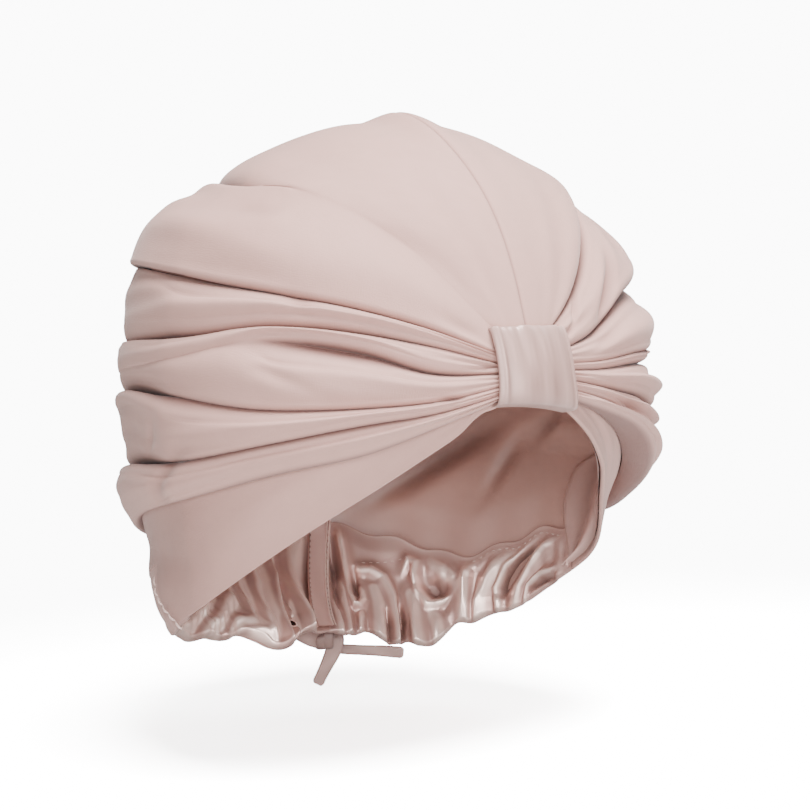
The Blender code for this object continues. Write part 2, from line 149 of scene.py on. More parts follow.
CREASES_LEFT = (
    ("top_fold", (28, 36.3, 44.5, 52, 57, 58, 53, 40), (2.4, 5.0, 6.0, 5.0, 4.0, 3.0),
     (60, 60, 60, 60, 60), (100, 112, 115, 100, 70), (0, 0, 0, 0), (0, 0, 0, 0), (0, 0)),
    ("tube_fold", (23.2, 26.8, 31.8, 33.5, 36, 37, 35, 27), (2.6, 5.5, 8.5, 8.0, 6.0, 5.0),
     (130, 135, 135, 130, 125), (45, 40, 40, 40, 40), (2, 1, 1, 3), (0, 0.15, 0.1, 0.1), (-3, 5)),
    ("upper_fold", (20.8, 19.9, 19.7, 18.6, 20, 20, 19, 15), (2.2, 3.8, 7.0, 8.0, 5.0, 4.0),
     (125, 130, 130, 125, 120), (60, 60, 60, 50, 45), (2, 3, 3, 1.5), (0, 0, 0, 0), (-2, 3)),
    ("short_fold", (19.2, 18, 17.3, 15.8, 14.5, 13, 11, 7), (1.6, 2.2, 3.8, 4.5, 2.5, 1.5),
     (80, 90, 90, 80, 80), (80, 70, 60, 60, 60), (0.3, 1, 1.2, 1.2), (0, 0, 0, 0), (0, 0)),
    ("middle_fold", (17.7, 14.2, 10.8, 5.8, 5.5, 5, 2, -2), (2.0, 3.8, 5.5, 6.5, 6.0, 5.0),
     (120, 125, 130, 130, 120), (60, 55, 50, 45, 45), (1.5, 3, 4, 1.8), (0, 0, 0, 0), (0, 0)),
    ("low_fold", (15.7, 11.2, 6, -0.5, -4, -7.5, -10.5, -13), (2.0, 3.8, 5.5, 6.5, 5.5, 4.0),
     (130, 130, 130, 130, 125), (50, 45, 45, 45, 45), (1, 3, 3, 1.8), (0, 0, 0, 0), (-1.5, -4)),
    ("band_edge", (14.2, 9.1, 3.6, -5.8, -16.6, -19, -22, -26), (0, 0, 0, 0, 0, 0),
     (150, 150, 150, 150, 150), (30, 30, 30, 30, 30), (1, 3, 2.4, 1.8), (0, 0, 0, 0), (-5, 0)),
)

# Places where the wrap's sides are seen from the front: middle and spread in degrees of azimuth
SIDE_RIGHT = (113, 30)
SIDE_LEFT = (62, 28)

# Corners of the wrap that stand out: side, azimuth and spread in degrees, elevation where each
# starts and the degrees over which it grows, height in millimetres
CORNER_COLUMNS = ("side", "azimuth", "spread", "start", "growth", "height")
CORNERS = ((-1, 115, 22, -19, 9, 6.0), (1, 74, 11, -10, 8, -1.5))

# Small dents in the folds: azimuth and elevation of the middle in degrees, length and width in
# degrees, slope of the length in degrees of elevation for each of azimuth, depth in millimetres
DENT_COLUMNS = ("azimuth", "elevation", "length", "width", "slope", "depth")
DENTS_RIGHT = (
    (17, 29.8, 8, 0.9, 0.40, 2.6),
    (11, 21.0, 5, 0.5, -0.05, 2.0),
    (21, 14.7, 4, 0.5, 0.02, 2.0),
    (14, 37.5, 9, 2.4, 0.90, 0.7),
    (34, 48.0, 13, 2.6, 0.45, 0.8),
    (70, 50.0, 15, 2.0, 0.10, 1.8),
    (44, 43.0, 16, 2.4, 0.5, 1.1),
    (54, 33.0, 5, 1.6, 0.2, 1.6),
    (60, 20.2, 14, 1.6, 0.38, 1.6),
    (40, 22.5, 10, 1.2, 0.2, 0.8),
    (90, -1.5, 9, 2.6, -0.80, 2.4),
    (97, 6.5, 6, 2.2, -0.7, 1.2),
    (62, 3.6, 14, 1.2, -0.2, 0.7),
)
DENTS_LEFT = (
    (35, 33.5, 11, 2.0, 0.68, 5.0),
    (19, 31.0, 6, 1.0, 1.0, 2.0),
    (37, 8.0, 9, 1.4, -0.45, 3.2),
    (58, 43.0, 14, 3.0, 0.5, 2.0),
    (27, 23.2, 8, 1.0, 0.2, 1.6),
    (60, 12.0, 9, 1.5, -0.3, 2.0),
    (46, -2.0, 9, 1.6, -0.6, 2.2),
)

# Halves of the crown and the band: name, side, creases and dents
HALVES = (("right", -1, CREASES_RIGHT, DENTS_RIGHT), ("left", 1, CREASES_LEFT, DENTS_LEFT))

CAMERA_AZIMUTH = -34.0
CAMERA_ELEVATION = 4.3
CAMERA_ROLL = 2.8
CAMERA_DISTANCE = 1.0
CAMERA_SHIFT = 0.0045
CAMERA_AIM_HEIGHT = -0.113
FRAME_WIDTH = 0.3645    # how wide the photo's frame is at the point aimed at
BACKDROP = 11.0         # brightness of what the camera sees behind the turban
FLOOR_GAIN = 9.0        # brightness of the floor close to it

# Routes of the ties: the part's own, with the right one's strand brought out before the gathers
TIE_RIGHT_ROUTE_MM = (
    (-10.6, 86.5, -220.5), (-8.0, 83.5, -224.0), (-3.4, 83.4, -227.2), (1.6, 84.0, -229.8),
    (6.8, 84.6, -231.2), (11.0, 84.4, -230.4), (13.8, 83.2, -230.6), (13.4, 82.6, -233.8),
    (11.4, 83.2, -238.6), (9.0, 84.4, -243.6), (6.6, 85.6, -248.4), (4.2, 86.6, -253.0),
)
TIE_LEFT_ROUTE_MM = (
    (26.4, 91.6, -221.5), (21.7, 92.2, -222.2), (17.5, 91.7, -222.3), (13.8, 89.8, -222.5),
    (10.8, 88.1, -224.0), (9.5, 87.1, -226.3), (9.4, 87.0, -229.5), (9.9, 87.0, -232.6),
    (13.0, 86.7, -235.6), (18.5, 85.5, -237.4), (25.5, 83.4, -238.6), (32.5, 80.8, -239.6),
    (40.0, 77.4, -240.7), (47.0, 73.6, -242.0),
)
KNOT_SHIFT = (0.0015, -0.003, -0.0015)
EYELET_PLACE = (194.6, 0.15)    # azimuth, and height in shares of CASING_HEIGHT
UPWARD = np.array([0.0, 0.0, 1.0])

THREAD_COUNT = 2600.0   # cells of the weave's noise in a metre of the cloth's own map
BUMP_DISTANCE = 0.0002
WAVE_SLANT = 0.35       # the most that a wave leans, along against across
RUFFLE_DEPTH = 0.0046   # depth for which the table of gathers was made
CASING_OUTER_ROWS = 28  # rows of the casing's mesh in the outer silk


class TurbanSettings(bpy.types.PropertyGroup):
    """Sizes and colours of the turban's cloth."""

    fold_depth: FloatProperty(
        name="Fold depth",
        description="How deep the crown's creases are, against those of the tables",
        default=1.4, min=0.2, max=2.0)
    gather_depth: FloatProperty(
        name="Gather depth",
        description="Height of the small pleats where the crown enters the loop",
        default=0.0014, min=0.0, max=0.003, unit="LENGTH", precision=4)
    wrinkle: FloatProperty(
        name="Wrinkles", description="Height of the faint tension wrinkles along the folds",
        default=0.0007, min=0.0, max=0.002, unit="LENGTH", precision=5)
    ruffle_depth: FloatProperty(
        name="Ruffle depth", description="How far the casing's gathers stand off the form",
        default=0.0056, min=0.001, max=0.012, unit="LENGTH", precision=4)
    tie_width: FloatProperty(
        name="Tie width", description="Width of the flat ties", default=0.0058,
        min=0.003, max=0.008, unit="LENGTH", precision=4)
    stitch_length: FloatProperty(
        name="Stitch length", description="Length of one stitch", default=0.0022,
        min=0.001, max=0.004, unit="LENGTH", precision=4)
    silk_colour: FloatVectorProperty(
        name="Silk", description="Colour of the matte outer silk", subtype="COLOR",
        default=(0.48, 0.280, 0.240), min=0, max=1)
    satin_colour: FloatVectorProperty(
        name="Satin", description="Colour of the loop, the casing's inside and the ties",
        subtype="COLOR", default=(0.54, 0.335, 0.295), min=0, max=1)
    lining_colour: FloatVectorProperty(
        name="Lining", description="Colour of the lining", subtype="COLOR",
        default=(0.37, 0.20, 0.165), min=0, max=1)
    thread_colour: FloatVectorProperty(
        name="Thread", description="Colour of the stitches", subtype="COLOR",
        default=(0.66, 0.47, 0.42), min=0, max=1)


# Geometry of the form

def curve_through(places, stations, values):
    """Cubic pieces through the values at the stations, with the chord's slope at each."""
    stations = np.asarray(stations, float)
    values = np.asarray(values, float)
    slopes = np.gradient(values, stations)
    places = np.clip(places, stations[0], stations[-1])
    piece = np.clip(np.searchsorted(stations, places) - 1, 0, len(stations) - 2)
    span = stations[piece + 1] - stations[piece]
    share = (places - stations[piece]) / span
    start_weight = 2 * share**3 - 3 * share**2 + 1
    start_slope = share**3 - 2 * share**2 + share
    end_slope = share**3 - share**2
    return (start_weight * values[piece] + (1 - start_weight) * values[piece + 1]
            + span * (start_slope * slopes[piece] + end_slope * slopes[piece + 1]))


def ease(share):
    """Smooth step from 0 to 1: three times the square less twice the cube."""
    share = np.clip(share, 0.0, 1.0)
    return share * share * (3 - 2 * share)


def bell(value, middle, spread, power=2):
    """Bell curve of height 1: e to less the distance from the middle in spreads, to a power."""
    return np.exp(-((value - middle) / spread)**power)


def rounded(values, power):
    """Values from -1 to 1 whose size is raised to a power, which makes an oval squarer."""
    return np.sign(values) * np.abs(values)**power


def unit(vectors):
    """Vectors over their own lengths."""
    return vectors / np.linalg.norm(vectors, axis=-1, keepdims=True)


def run_along(path):
    """Distance along a path at each of its points."""
    return np.concatenate([[0], np.cumsum(np.linalg.norm(np.diff(path, axis=0), axis=1))])


def full_turn(count):
    """Angles of a whole turn in equal steps, without the last."""
    return np.linspace(0, 2 * math.pi, count, endpoint=False)


def direction(azimuth, elevation):
    """Unit vectors: sine and minus cosine of the azimuth times the cosine of the elevation, and
    the sine of the elevation."""
    azimuth, elevation = np.broadcast_arrays(np.radians(azimuth), np.radians(elevation))
    return np.stack([np.sin(azimuth) * np.cos(elevation),
                     -np.cos(azimuth) * np.cos(elevation),
                     np.sin(elevation)], -1)


def ray_angles(ray):
    """Azimuth from the front, the same on both sides, and elevation of unit vectors in degrees."""
    azimuth = np.degrees(np.arctan2(np.abs(ray[..., 0]), -ray[..., 1]))
    return azimuth, np.degrees(np.arcsin(np.clip(ray[..., 2], -1, 1)))


def from_front(azimuth):
    """Azimuth over the whole turn as an angle from the front, from 0 to 180."""
    return 180 - np.abs(azimuth - 180)


def form_radius(ray):
    """Distance from the centre to the form: a superellipse level by level, whose power and depth
    differ front and back, on a superellipse upwards."""
    level = np.maximum(np.hypot(ray[..., 0], ray[..., 1]), 1e-9)
    side, depth = np.abs(ray[..., 0]) / level, ray[..., 1] / level
    power = np.where(depth < 0, BROW_POWER, FORM_POWER)
    reach = np.where(depth < 0, FRONT_DEPTH, BACK_DEPTH)
    level_radius = ((side / HALF_WIDTH)**power + (np.abs(depth) / reach)**power)**(-1 / power)
    drop = SIDE_DROP + (NAPE_DROP - SIDE_DROP) * np.clip(depth, 0, 1)**2
    height = np.where(ray[..., 2] > 0, CROWN_HEIGHT, drop)
    return ((level / level_radius)**FORM_POWER
            + (np.abs(ray[..., 2]) / height)**FORM_POWER)**(-1 / FORM_POWER)


def sag_drop(ray):
    """How far the wrap hangs below the form: a curve over azimuth, times a smooth step from the
    form's widest level down."""
    azimuth, elevation = ray_angles(ray)
    share = np.where(ray[..., 0] > 0, curve_through(azimuth, STATIONS, SAG_LEFT),
                     curve_through(azimuth, STATIONS, SAG_RIGHT))
    return SAG * share * ease(-elevation / SAG_SPAN)


def corner_rise(ray):
    """How far the wrap's lower corners stand out: a bell over azimuth times a smooth step down."""
    azimuth, elevation = ray_angles(ray)
    total = np.zeros(azimuth.shape)
    for row in CORNERS:
        corner = dict(zip(CORNER_COLUMNS, row))
        total += (corner["height"] / 1000 * (ray[..., 0] * corner["side"] > 0)
                  * bell(azimuth, corner["azimuth"], corner["spread"])
                  * ease((corner["start"] - elevation) / corner["growth"]))
    return total


def form_point(ray, offset):
    """Point on a ray from the form's centre, at the form's radius and an offset, with the
    corners' rise, less the sag."""
    point = FORM_CENTRE + ray * (form_radius(ray) + offset + corner_rise(ray))[..., None]
    point[..., 2] -= sag_drop(ray)
    return point


def low_edge(azimuth):
    """Elevation of the wrap's lower edge."""
    return curve_through(np.abs(azimuth), STATIONS, EDGE_ELEVATION)


def edge_tuck(azimuth, elevation):
    """How far cloth near the lower edge draws in: a curve over azimuth, times a smooth step
    towards the edge."""
    above = elevation - low_edge(azimuth)
    tuck = curve_through(np.abs(azimuth), STATIONS, EDGE_TUCK)
    return EDGE_DRAW * tuck * ease(1 - above / TUCK_SPAN)


def on_own_side(points, side):
    """Points of one half, none of which passes the middle plane."""
    points[..., 0] = side * np.maximum(side * points[..., 0], 0.0)
    return points


def waves(across, along, seed, count=5, low=0.6, high=2.6):
    """Sum of a few cosines of across and along, with seeded turns and phases, from -1 to 1."""
    turn = np.random.default_rng(seed)
    total = 0.0
    for _ in range(count):
        fine = turn.uniform(low, high)
        drift = turn.uniform(-WAVE_SLANT, WAVE_SLANT) * fine
        total = total + np.cos(2 * math.pi * (fine * across + drift * along + turn.uniform()))
    return total / count


def dents(azimuth, elevation, rows):
    """Sum of bell-shaped hollows, long along their slope and narrow across it."""
    total = np.zeros(np.broadcast(azimuth, elevation).shape)
    for row in rows:
        dent = dict(zip(DENT_COLUMNS, row))
        along = azimuth - dent["azimuth"]
        across = elevation - dent["elevation"] - dent["slope"] * along
        total += dent["depth"] / 1000 * np.exp(-(along / dent["length"])**2 * 2
                                               - (across / dent["width"])**2)
    return total


# Meshes

def set_painted_shading(mesh, painted_shading):
    """Give each point the attribute of painted shading: painted shade from 0 in creases, 0.5 plain,
    up to painted highlight at 1 on crests.
    """
    heights = mesh.attributes.new("painted_shading", "FLOAT", "POINT")
    heights.data.foreach_set("value", np.clip(painted_shading, 0, 1).astype(np.float32).ravel())


def grid_mesh(name, points, painted_shading, close_columns=False, flip=False):
    """Mesh of quads over a grid of points, with its painted shading, and a UV map in metres along
    the grid's lines."""
    rows, columns = points.shape[:2]
    index = np.arange(rows * columns, dtype=np.int32).reshape(rows, columns)
    if close_columns:
        index = np.concatenate([index, index[:, :1]], axis=1)
    faces = np.stack([index[:-1, :-1], index[:-1, 1:], index[1:, 1:], index[1:, :-1]], -1)
    if flip:
        faces = faces[..., ::-1]
    faces = faces.reshape(-1, 4)
    mesh = bpy.data.meshes.new(name)
    mesh.vertices.add(rows * columns)
    mesh.vertices.foreach_set("co", points.astype(np.float32).ravel())
    mesh.loops.add(faces.size)
    mesh.loops.foreach_set("vertex_index", faces.ravel())
    mesh.polygons.add(len(faces))
    mesh.polygons.foreach_set("loop_start", np.arange(0, faces.size, 4, dtype=np.int32))
    mesh.update(calc_edges=True)
    steps = [np.linalg.norm(np.diff(points, axis=axis), axis=-1).mean(axis=1 - axis)
             for axis in (1, 0)]
    along, across = (np.concatenate([[0], np.cumsum(step)]) for step in steps)
    uv = np.stack(np.meshgrid(along, across), -1).reshape(-1, 2)
    layer = mesh.uv_layers.new(name="cloth")
    layer.data.foreach_set("uv", uv[faces.ravel()].astype(np.float32).ravel())
    set_painted_shading(mesh, np.broadcast_to(painted_shading, (rows, columns)))
    mesh.validate()
    mesh.shade_smooth()
    return mesh


def link_object(name, data):
    """New object in the scene, at the origin."""
    thing = bpy.data.objects.new(name, data)
    bpy.context.scene.collection.objects.link(thing)
    return thing


def add_piece(name, mesh, materials, nodes=()):
    """Link a piece, give it its materials, and set what it rides on and replaces."""
    piece = link_object(name, mesh)
    for material in materials:
        mesh.materials.append(material)
    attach(piece, "root")
    if nodes:
        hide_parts(*nodes)
    return piece


def add_cloth(name, grid, material, nodes=(), slot="satin", **shape):
    """Piece of one material over a grid of points with its painted shading."""
    return add_piece(name, grid_mesh(name, *grid, **shape), [material], nodes)


# Crown, with lengths in metres and angles in degrees

GATHER_SPAN = 30            # over which the folds grow, away from the loop
PLEAT_SPAN = 17             # over which the pleats at the loop fade
SEAM_SIDE = 0.03            # share of the dome where its rows crowd beside the centre seam
SEAM_DIP = 0.0009
SEAM_DIP_WIDTH = 0.0011
SEAM_LINE_WIDTH = 0.0006    # of the darker line in the dip
RIDGE_TOP = 84              # where along the seam the ridge is highest
RIDGE_SPANS = (7, 14)       # how far it goes on behind there and before
RIDGE_HEIGHT = 0.0044
RIDGE_WIDTH_RIGHT = 0.008
RIDGE_WIDTH_LEFT = 0.0125
SADDLE_DEPTH = 0.0018       # of the hollow beside the seam, behind the ridge
DOME_WRINKLE = 0.0012       # height of the dome's soft wrinkles
DOME_HOLLOW = 0.0012        # depth of its broad hollow
DOME_ROOM = 0.35            # shares of the dome's or a fold's width that a lip may take
RISE_ROOM = 0.40
CURL_ROOM = 0.46
RISE_ROWS = 9
CURL_ROWS = 13
FACE_ROWS = 15
DARKEST_SHADE_DEPTH = 0.0045         # depth in a crease at which the painted shade is darkest


def crown_columns(count):
    """Azimuths from under the loop to the back seam, closer together near the loop."""
    share = np.linspace(0, 1, count)
    even, crowding = 0.35, 1.7
    return FIRST_COLUMN + COLUMN_SPAN * (even * share + (1 - even) * share**crowding)


def soft_min(first, second):
    """Smooth lower bound of two positive values: their inverse fourth powers are added."""
    return (np.maximum(first, 1e-6)**-4 + np.maximum(second, 1e-6)**-4)**-0.25


def lip(depth, turn, room, count):
    """Elliptic arc by which a fold's face curls down by a depth through a turn in degrees: its
    height is the depth over one less the turn's cosine, its reach as much, within the room.
    Gives the distance along the face and the drop, row by row."""
    turn = np.radians(turn)
    angle = turn * np.linspace(0, 1, count)[:, None]
    tall = depth / (1 - np.cos(turn))
    reach = soft_min(tall, room / np.sin(np.minimum(turn, math.pi / 2)))
    return reach * np.sin(angle), tall * (1 - np.cos(angle))


def soften(grid, row, weight, spread=13, passes=90):
    """Average the rows near one row with their neighbours, again and again, by a weight for each
    column."""
    near = bell(np.arange(len(grid)), row, spread)[:, None] * weight
    near = near.reshape(near.shape + (1,) * (grid.ndim - 2))
    for _ in range(passes):
        mean = grid.copy()
        mean[1:-1] = (grid[:-2] + 2 * grid[1:-1] + grid[2:]) / 4
        grid = grid + (mean - grid) * near
    return grid


def crown_sizes(side, creases, settings, azimuth):
    """Sizes of one half of the crown over its columns. Each list has one array for each crease:
    its elevation, how far it stands out, the fold above it and its depth in metres, and both of
    its turns. A crease is no deeper than the fold below it is wide, give or take a tenth."""
    table = [dict(zip(CREASE_COLUMNS, row)) for row in creases]

    def columns(stations, key, scale=1.0):
        return [scale * curve_through(azimuth, stations, row[key]) for row in table]

    height = columns(STATIONS, "elevation")
    middle, spread = SIDE_RIGHT if side < 0 else SIDE_LEFT
    sizes = {
        "height": height,
        "puff": [PUFF * (curve_through(azimuth, STATIONS, PUFF_SHARE) + swell)
                 for swell in columns(BULGE_STATIONS, "swell")],
        "bulge": columns(BULGE_STATIONS, "bulge", settings.fold_depth / 1000),
        "depth": columns(DEPTH_STATIONS, "depth", settings.fold_depth / 1000),
        "curl": columns(TURN_STATIONS, "curl"),
        "rise": columns(TURN_STATIONS, "rise"),
        "width": [np.radians(high - low) * BODY_RADIUS for high, low in zip(height, height[1:])],
        "stand": [row["stand"] for row in table],
        "at_side": bell(azimuth, middle, spread) / 1000,
        "gather": ease((azimuth - FIRST_COLUMN) / GATHER_SPAN),
    }
    deepest = [1.1 * width for width in sizes["width"]]
    band_depth = sizes["puff"][-1] + sizes["at_side"] * sizes["stand"][-1][1] + CLOTH / 4
    sizes["depth"] = [*map(soft_min, sizes["depth"], deepest), band_depth]
    return sizes


def dome_rows(side, azimuth, sizes, hollow_rows):
    """Rows of the crown above its first crease: on great circles from the centre seam's arc to
    the crease, with a dip at the seam, a low ridge along its top, and a lip at the crease."""
    run = (azimuth - FIRST_COLUMN) / COLUMN_SPAN
    over_top = SEAM_START + (SEAM_END - SEAM_START) * run
    peak = bell(over_top, RIDGE_TOP, np.where(over_top > RIDGE_TOP, *RIDGE_SPANS))
    seam = direction(0, over_top)
    crease = direction(side * azimuth, sizes["height"][0])
    span = np.arccos(np.clip((seam * crease).sum(-1), -1, 1)) * BODY_RADIUS
    reach, drop = lip(sizes["depth"][0], sizes["curl"][0], DOME_ROOM * span, RISE_ROWS)
    lip_share = reach[-1] / np.maximum(span, 1e-4)
    top_puff = CROWN_PUFF * curve_through(azimuth, STATIONS, TOP_PUFF_SHARE)
    dome = np.concatenate([SEAM_SIDE * np.linspace(0, 1, 13)[:-1]**1.5,
                           np.linspace(SEAM_SIDE, 1, 54)])
    places = [place * (1 - lip_share) for place in dome]
    places += [1 - lip_share + part / np.maximum(span, 1e-4) for part in reach[1:]]
    falls = [0 * azimuth] * len(dome) + list(drop[1:])
    ridge_width = RIDGE_WIDTH_LEFT if side > 0 else RIDGE_WIDTH_RIGHT
    rows = []
    for place, fall in zip(places, falls):
        ray = unit(seam * (1 - place)[:, None] + crease * place[:, None])
        from_seam = place * span
        dip = SEAM_DIP * bell(from_seam, 0, SEAM_DIP_WIDTH)
        ridge = RIDGE_HEIGHT * peak * bell(from_seam, 0, ridge_width)
        saddle = SADDLE_DEPTH * bell(from_seam, 0.012, 0.018) * bell(over_top, 106, 12)
        wrinkle = DOME_WRINKLE * waves(place * 1.6, run * 2.2, 7 + side) * ease(place * 5)
        wrinkle = wrinkle * sizes["gather"]
        soft = DOME_HOLLOW * bell(azimuth, 46, 26) * bell(place, 0.34, 0.10)
        hollow = dents(*ray_angles(ray), hollow_rows) * ease(place * 3)
        puff = top_puff + (sizes["puff"][0] - top_puff) * ease(place)
        offset = puff - fall - dip + wrinkle - soft + ridge - saddle - hollow
        # Painted shading: painted shade as the lip curls into the crease and in the dents, painted
        # highlight on the wrinkles, and a darker line in the seam's dip
        painted_shading = (0.5 - 0.3 * bell(from_seam, 0, SEAM_LINE_WIDTH) - 0.5 * ease(fall / 0.005)
                  - 60 * hollow + 30 * wrinkle)
        rows.append((form_point(ray, offset), painted_shading))
    return rows


def fold_section(side, above, sizes):
    """Distances across the fold below one crease, and how deep the cloth lies there, row by row:
    an arc that rises out of the crease above, a bulged face that leans to its outer edge, and an
    arc that curls into the crease below."""
    below = above + 1
    width = sizes["width"][above]
    upper, lower = sizes["stand"][below]
    skew = min(max(1 + 0.06 * (lower - upper), 0.6), 1.8)
    rise_reach, rise_drop = lip(sizes["depth"][above], sizes["rise"][above],
                                RISE_ROOM * width, RISE_ROWS)
    curl_reach, curl_drop = lip(sizes["depth"][below], sizes["curl"][below],
                                CURL_ROOM * width, CURL_ROWS)
    start, end = rise_reach[-1], width - curl_reach[-1]
    faces = np.linspace(0, 1, FACE_ROWS + 2)[1:-1]
    bulges = []
    for place in faces:
        swelling = math.sin(math.pi * place**skew)
        if side < 0 and above == 0 and place**skew < 0.5:
            swelling = swelling**2
        bulges.append(-sizes["bulge"][below] * sizes["gather"] * swelling)
    across = [start - part for part in rise_reach[::-1]]
    across += [start + (end - start) * place for place in faces]
    across += [end + part for part in curl_reach]
    return across, [*rise_drop[::-1], *bulges, *curl_drop]


def fold_rows(side, azimuth, above, sizes, hollow_rows, settings):
    """Rows of the fold below one crease. The offset adds the puff, the stand at the wrap's side,
    the pleats near the loop and the wrinkles that run with the fold, less its dents. The painted
    shading is painted shade that deepens with the depth in a crease and in the dents, and painted
    highlight on the pleats and wrinkles."""
    below = above + 1
    run = (azimuth - FIRST_COLUMN) / COLUMN_SPAN
    near_loop = bell(azimuth, FIRST_COLUMN, PLEAT_SPAN, 1.3)
    upper, lower = sizes["stand"][below]
    width = sizes["width"][above]
    rows = []
    for distance, depth in zip(*fold_section(side, above, sizes)):
        place = distance / width
        within = np.clip(place, 0, 1)
        height, puff = (sizes[key][above] + (sizes[key][below] - sizes[key][above]) * place
                        for key in ("height", "puff"))
        puff = puff + sizes["at_side"] * (upper + (lower - upper) * within)
        inside = np.sin(math.pi * within)**0.8
        pleat = settings.gather_depth * near_loop * inside * waves(
            place * 2.0, run * 3, 31 * above + 11 + side, 3, 0.8, 1.6)
        ripple = settings.wrinkle * inside * sizes["gather"] * (width / 0.02) * waves(
            place * 1.2, run * 6, 17 * above + 5 + side, 5)
        hollow = dents(azimuth, height, hollow_rows)
        offset = puff - depth + pleat + ripple - hollow
        painted_shading = (0.53 - 0.53 * ease(np.maximum(depth, 0) / DARKEST_SHADE_DEPTH)
                  + 90 * pleat - 70 * hollow + 30 * ripple)
        rows.append((form_point(direction(side * azimuth, height), offset), painted_shading))
    return rows


def crown_points(side, creases, hollow_rows, settings):
    """Grid of one half of the crown, and its painted shading: the dome, and the fold below each
    crease.
    On the wearer's right two of the creases fade out along their length, and their painted
    shading with them."""
    azimuth = crown_columns(330)
    sizes = crown_sizes(side, creases, settings, azimuth)
    rows = dome_rows(side, azimuth, sizes, hollow_rows)
    crease_rows = []
    for above in range(len(creases) - 1):
        crease_rows.append(len(rows))
        rows += fold_rows(side, azimuth, above, sizes, hollow_rows, settings)
    points, painted_shading = (np.array(part) for part in zip(*rows))
    if side < 0:
        top_fades = 1 - ease((azimuth - 48) / 18)
        short_fades = ease((azimuth - 60) / 14)
        for row, weight in ((crease_rows[0], top_fades), (crease_rows[3], short_fades)):
            points, painted_shading = soften(points, row, weight), soften(painted_shading, row, weight)
    return on_own_side(points, side), painted_shading


# Materials

def set_inputs(tree, node, inputs):
    """Give each input named a value, or a link from another node's output."""
    for name, value in inputs.items():
        if isinstance(value, bpy.types.NodeSocket):
            tree.links.new(value, node.inputs[name])
        else:
            node.inputs[name].default_value = value


def add_node(tree, kind, inputs, **options):
    """New node of a kind, with its options and its inputs."""
    node = tree.nodes.new("ShaderNode" + kind)
    for option, value in options.items():
        setattr(node, option, value)
    set_inputs(tree, node, inputs)
    return node


def new_material(name):
    """Material with a Principled BSDF, its node tree and that shader."""
    material = bpy.data.materials.new(name)
    material.use_nodes = True
    return material, material.node_tree, material.node_tree.nodes["Principled BSDF"]


def weave_group():
    """Weave and fine unevenness of silk: noise stretched along the warp and along the weft of the
    cloth's own map, plus soft clouds. Gives a height for bump, and a mask of darker and lighter
    cloth."""
    if "silk_weave" in bpy.data.node_groups:
        return bpy.data.node_groups["silk_weave"]
    tree = bpy.data.node_groups.new("silk_weave", "ShaderNodeTree")
    for name, way, default in (("Thread Count", "INPUT", THREAD_COUNT), ("Streak", "INPUT", 120.0),
                               ("Height", "OUTPUT", 0.0), ("Shade", "OUTPUT", 0.0)):
        socket = tree.interface.new_socket(name=name, in_out=way, socket_type="NodeSocketFloat")
        socket.default_value = default
    given = tree.nodes.new("NodeGroupInput").outputs
    uv = add_node(tree, "UVMap", {}, uv_map="cloth").outputs["UV"]

    def calculate(operation, first, second):
        return add_node(tree, "Math", {0: first, 1: second}, operation=operation).outputs[0]

    def stretched_noise(scale, across, along):
        """Noise on the cloth's map, stretched so that it looks like threads one way."""
        place = add_node(tree, "VectorMath", {0: uv, 1: (across, along, 1.0)},
                         operation="MULTIPLY").outputs[0]
        return add_node(tree, "TexNoise", {"Vector": place, "Scale": scale,
                                           "Detail": 2.0}).outputs["Fac"]

    thread_stretch = 0.12
    warp = stretched_noise(given["Thread Count"], thread_stretch, 1.0)
    weft = stretched_noise(given["Thread Count"], 1.0, thread_stretch)
    soft = stretched_noise(given["Streak"], 1.0, 1.0)
    height = calculate("ADD", warp, weft)
    shade = calculate("ADD", calculate("MULTIPLY", height, 0.25),
                      calculate("MULTIPLY", soft, 0.5))
    set_inputs(tree, tree.nodes.new("NodeGroupOutput"), {"Height": height, "Shade": shade})
    return tree


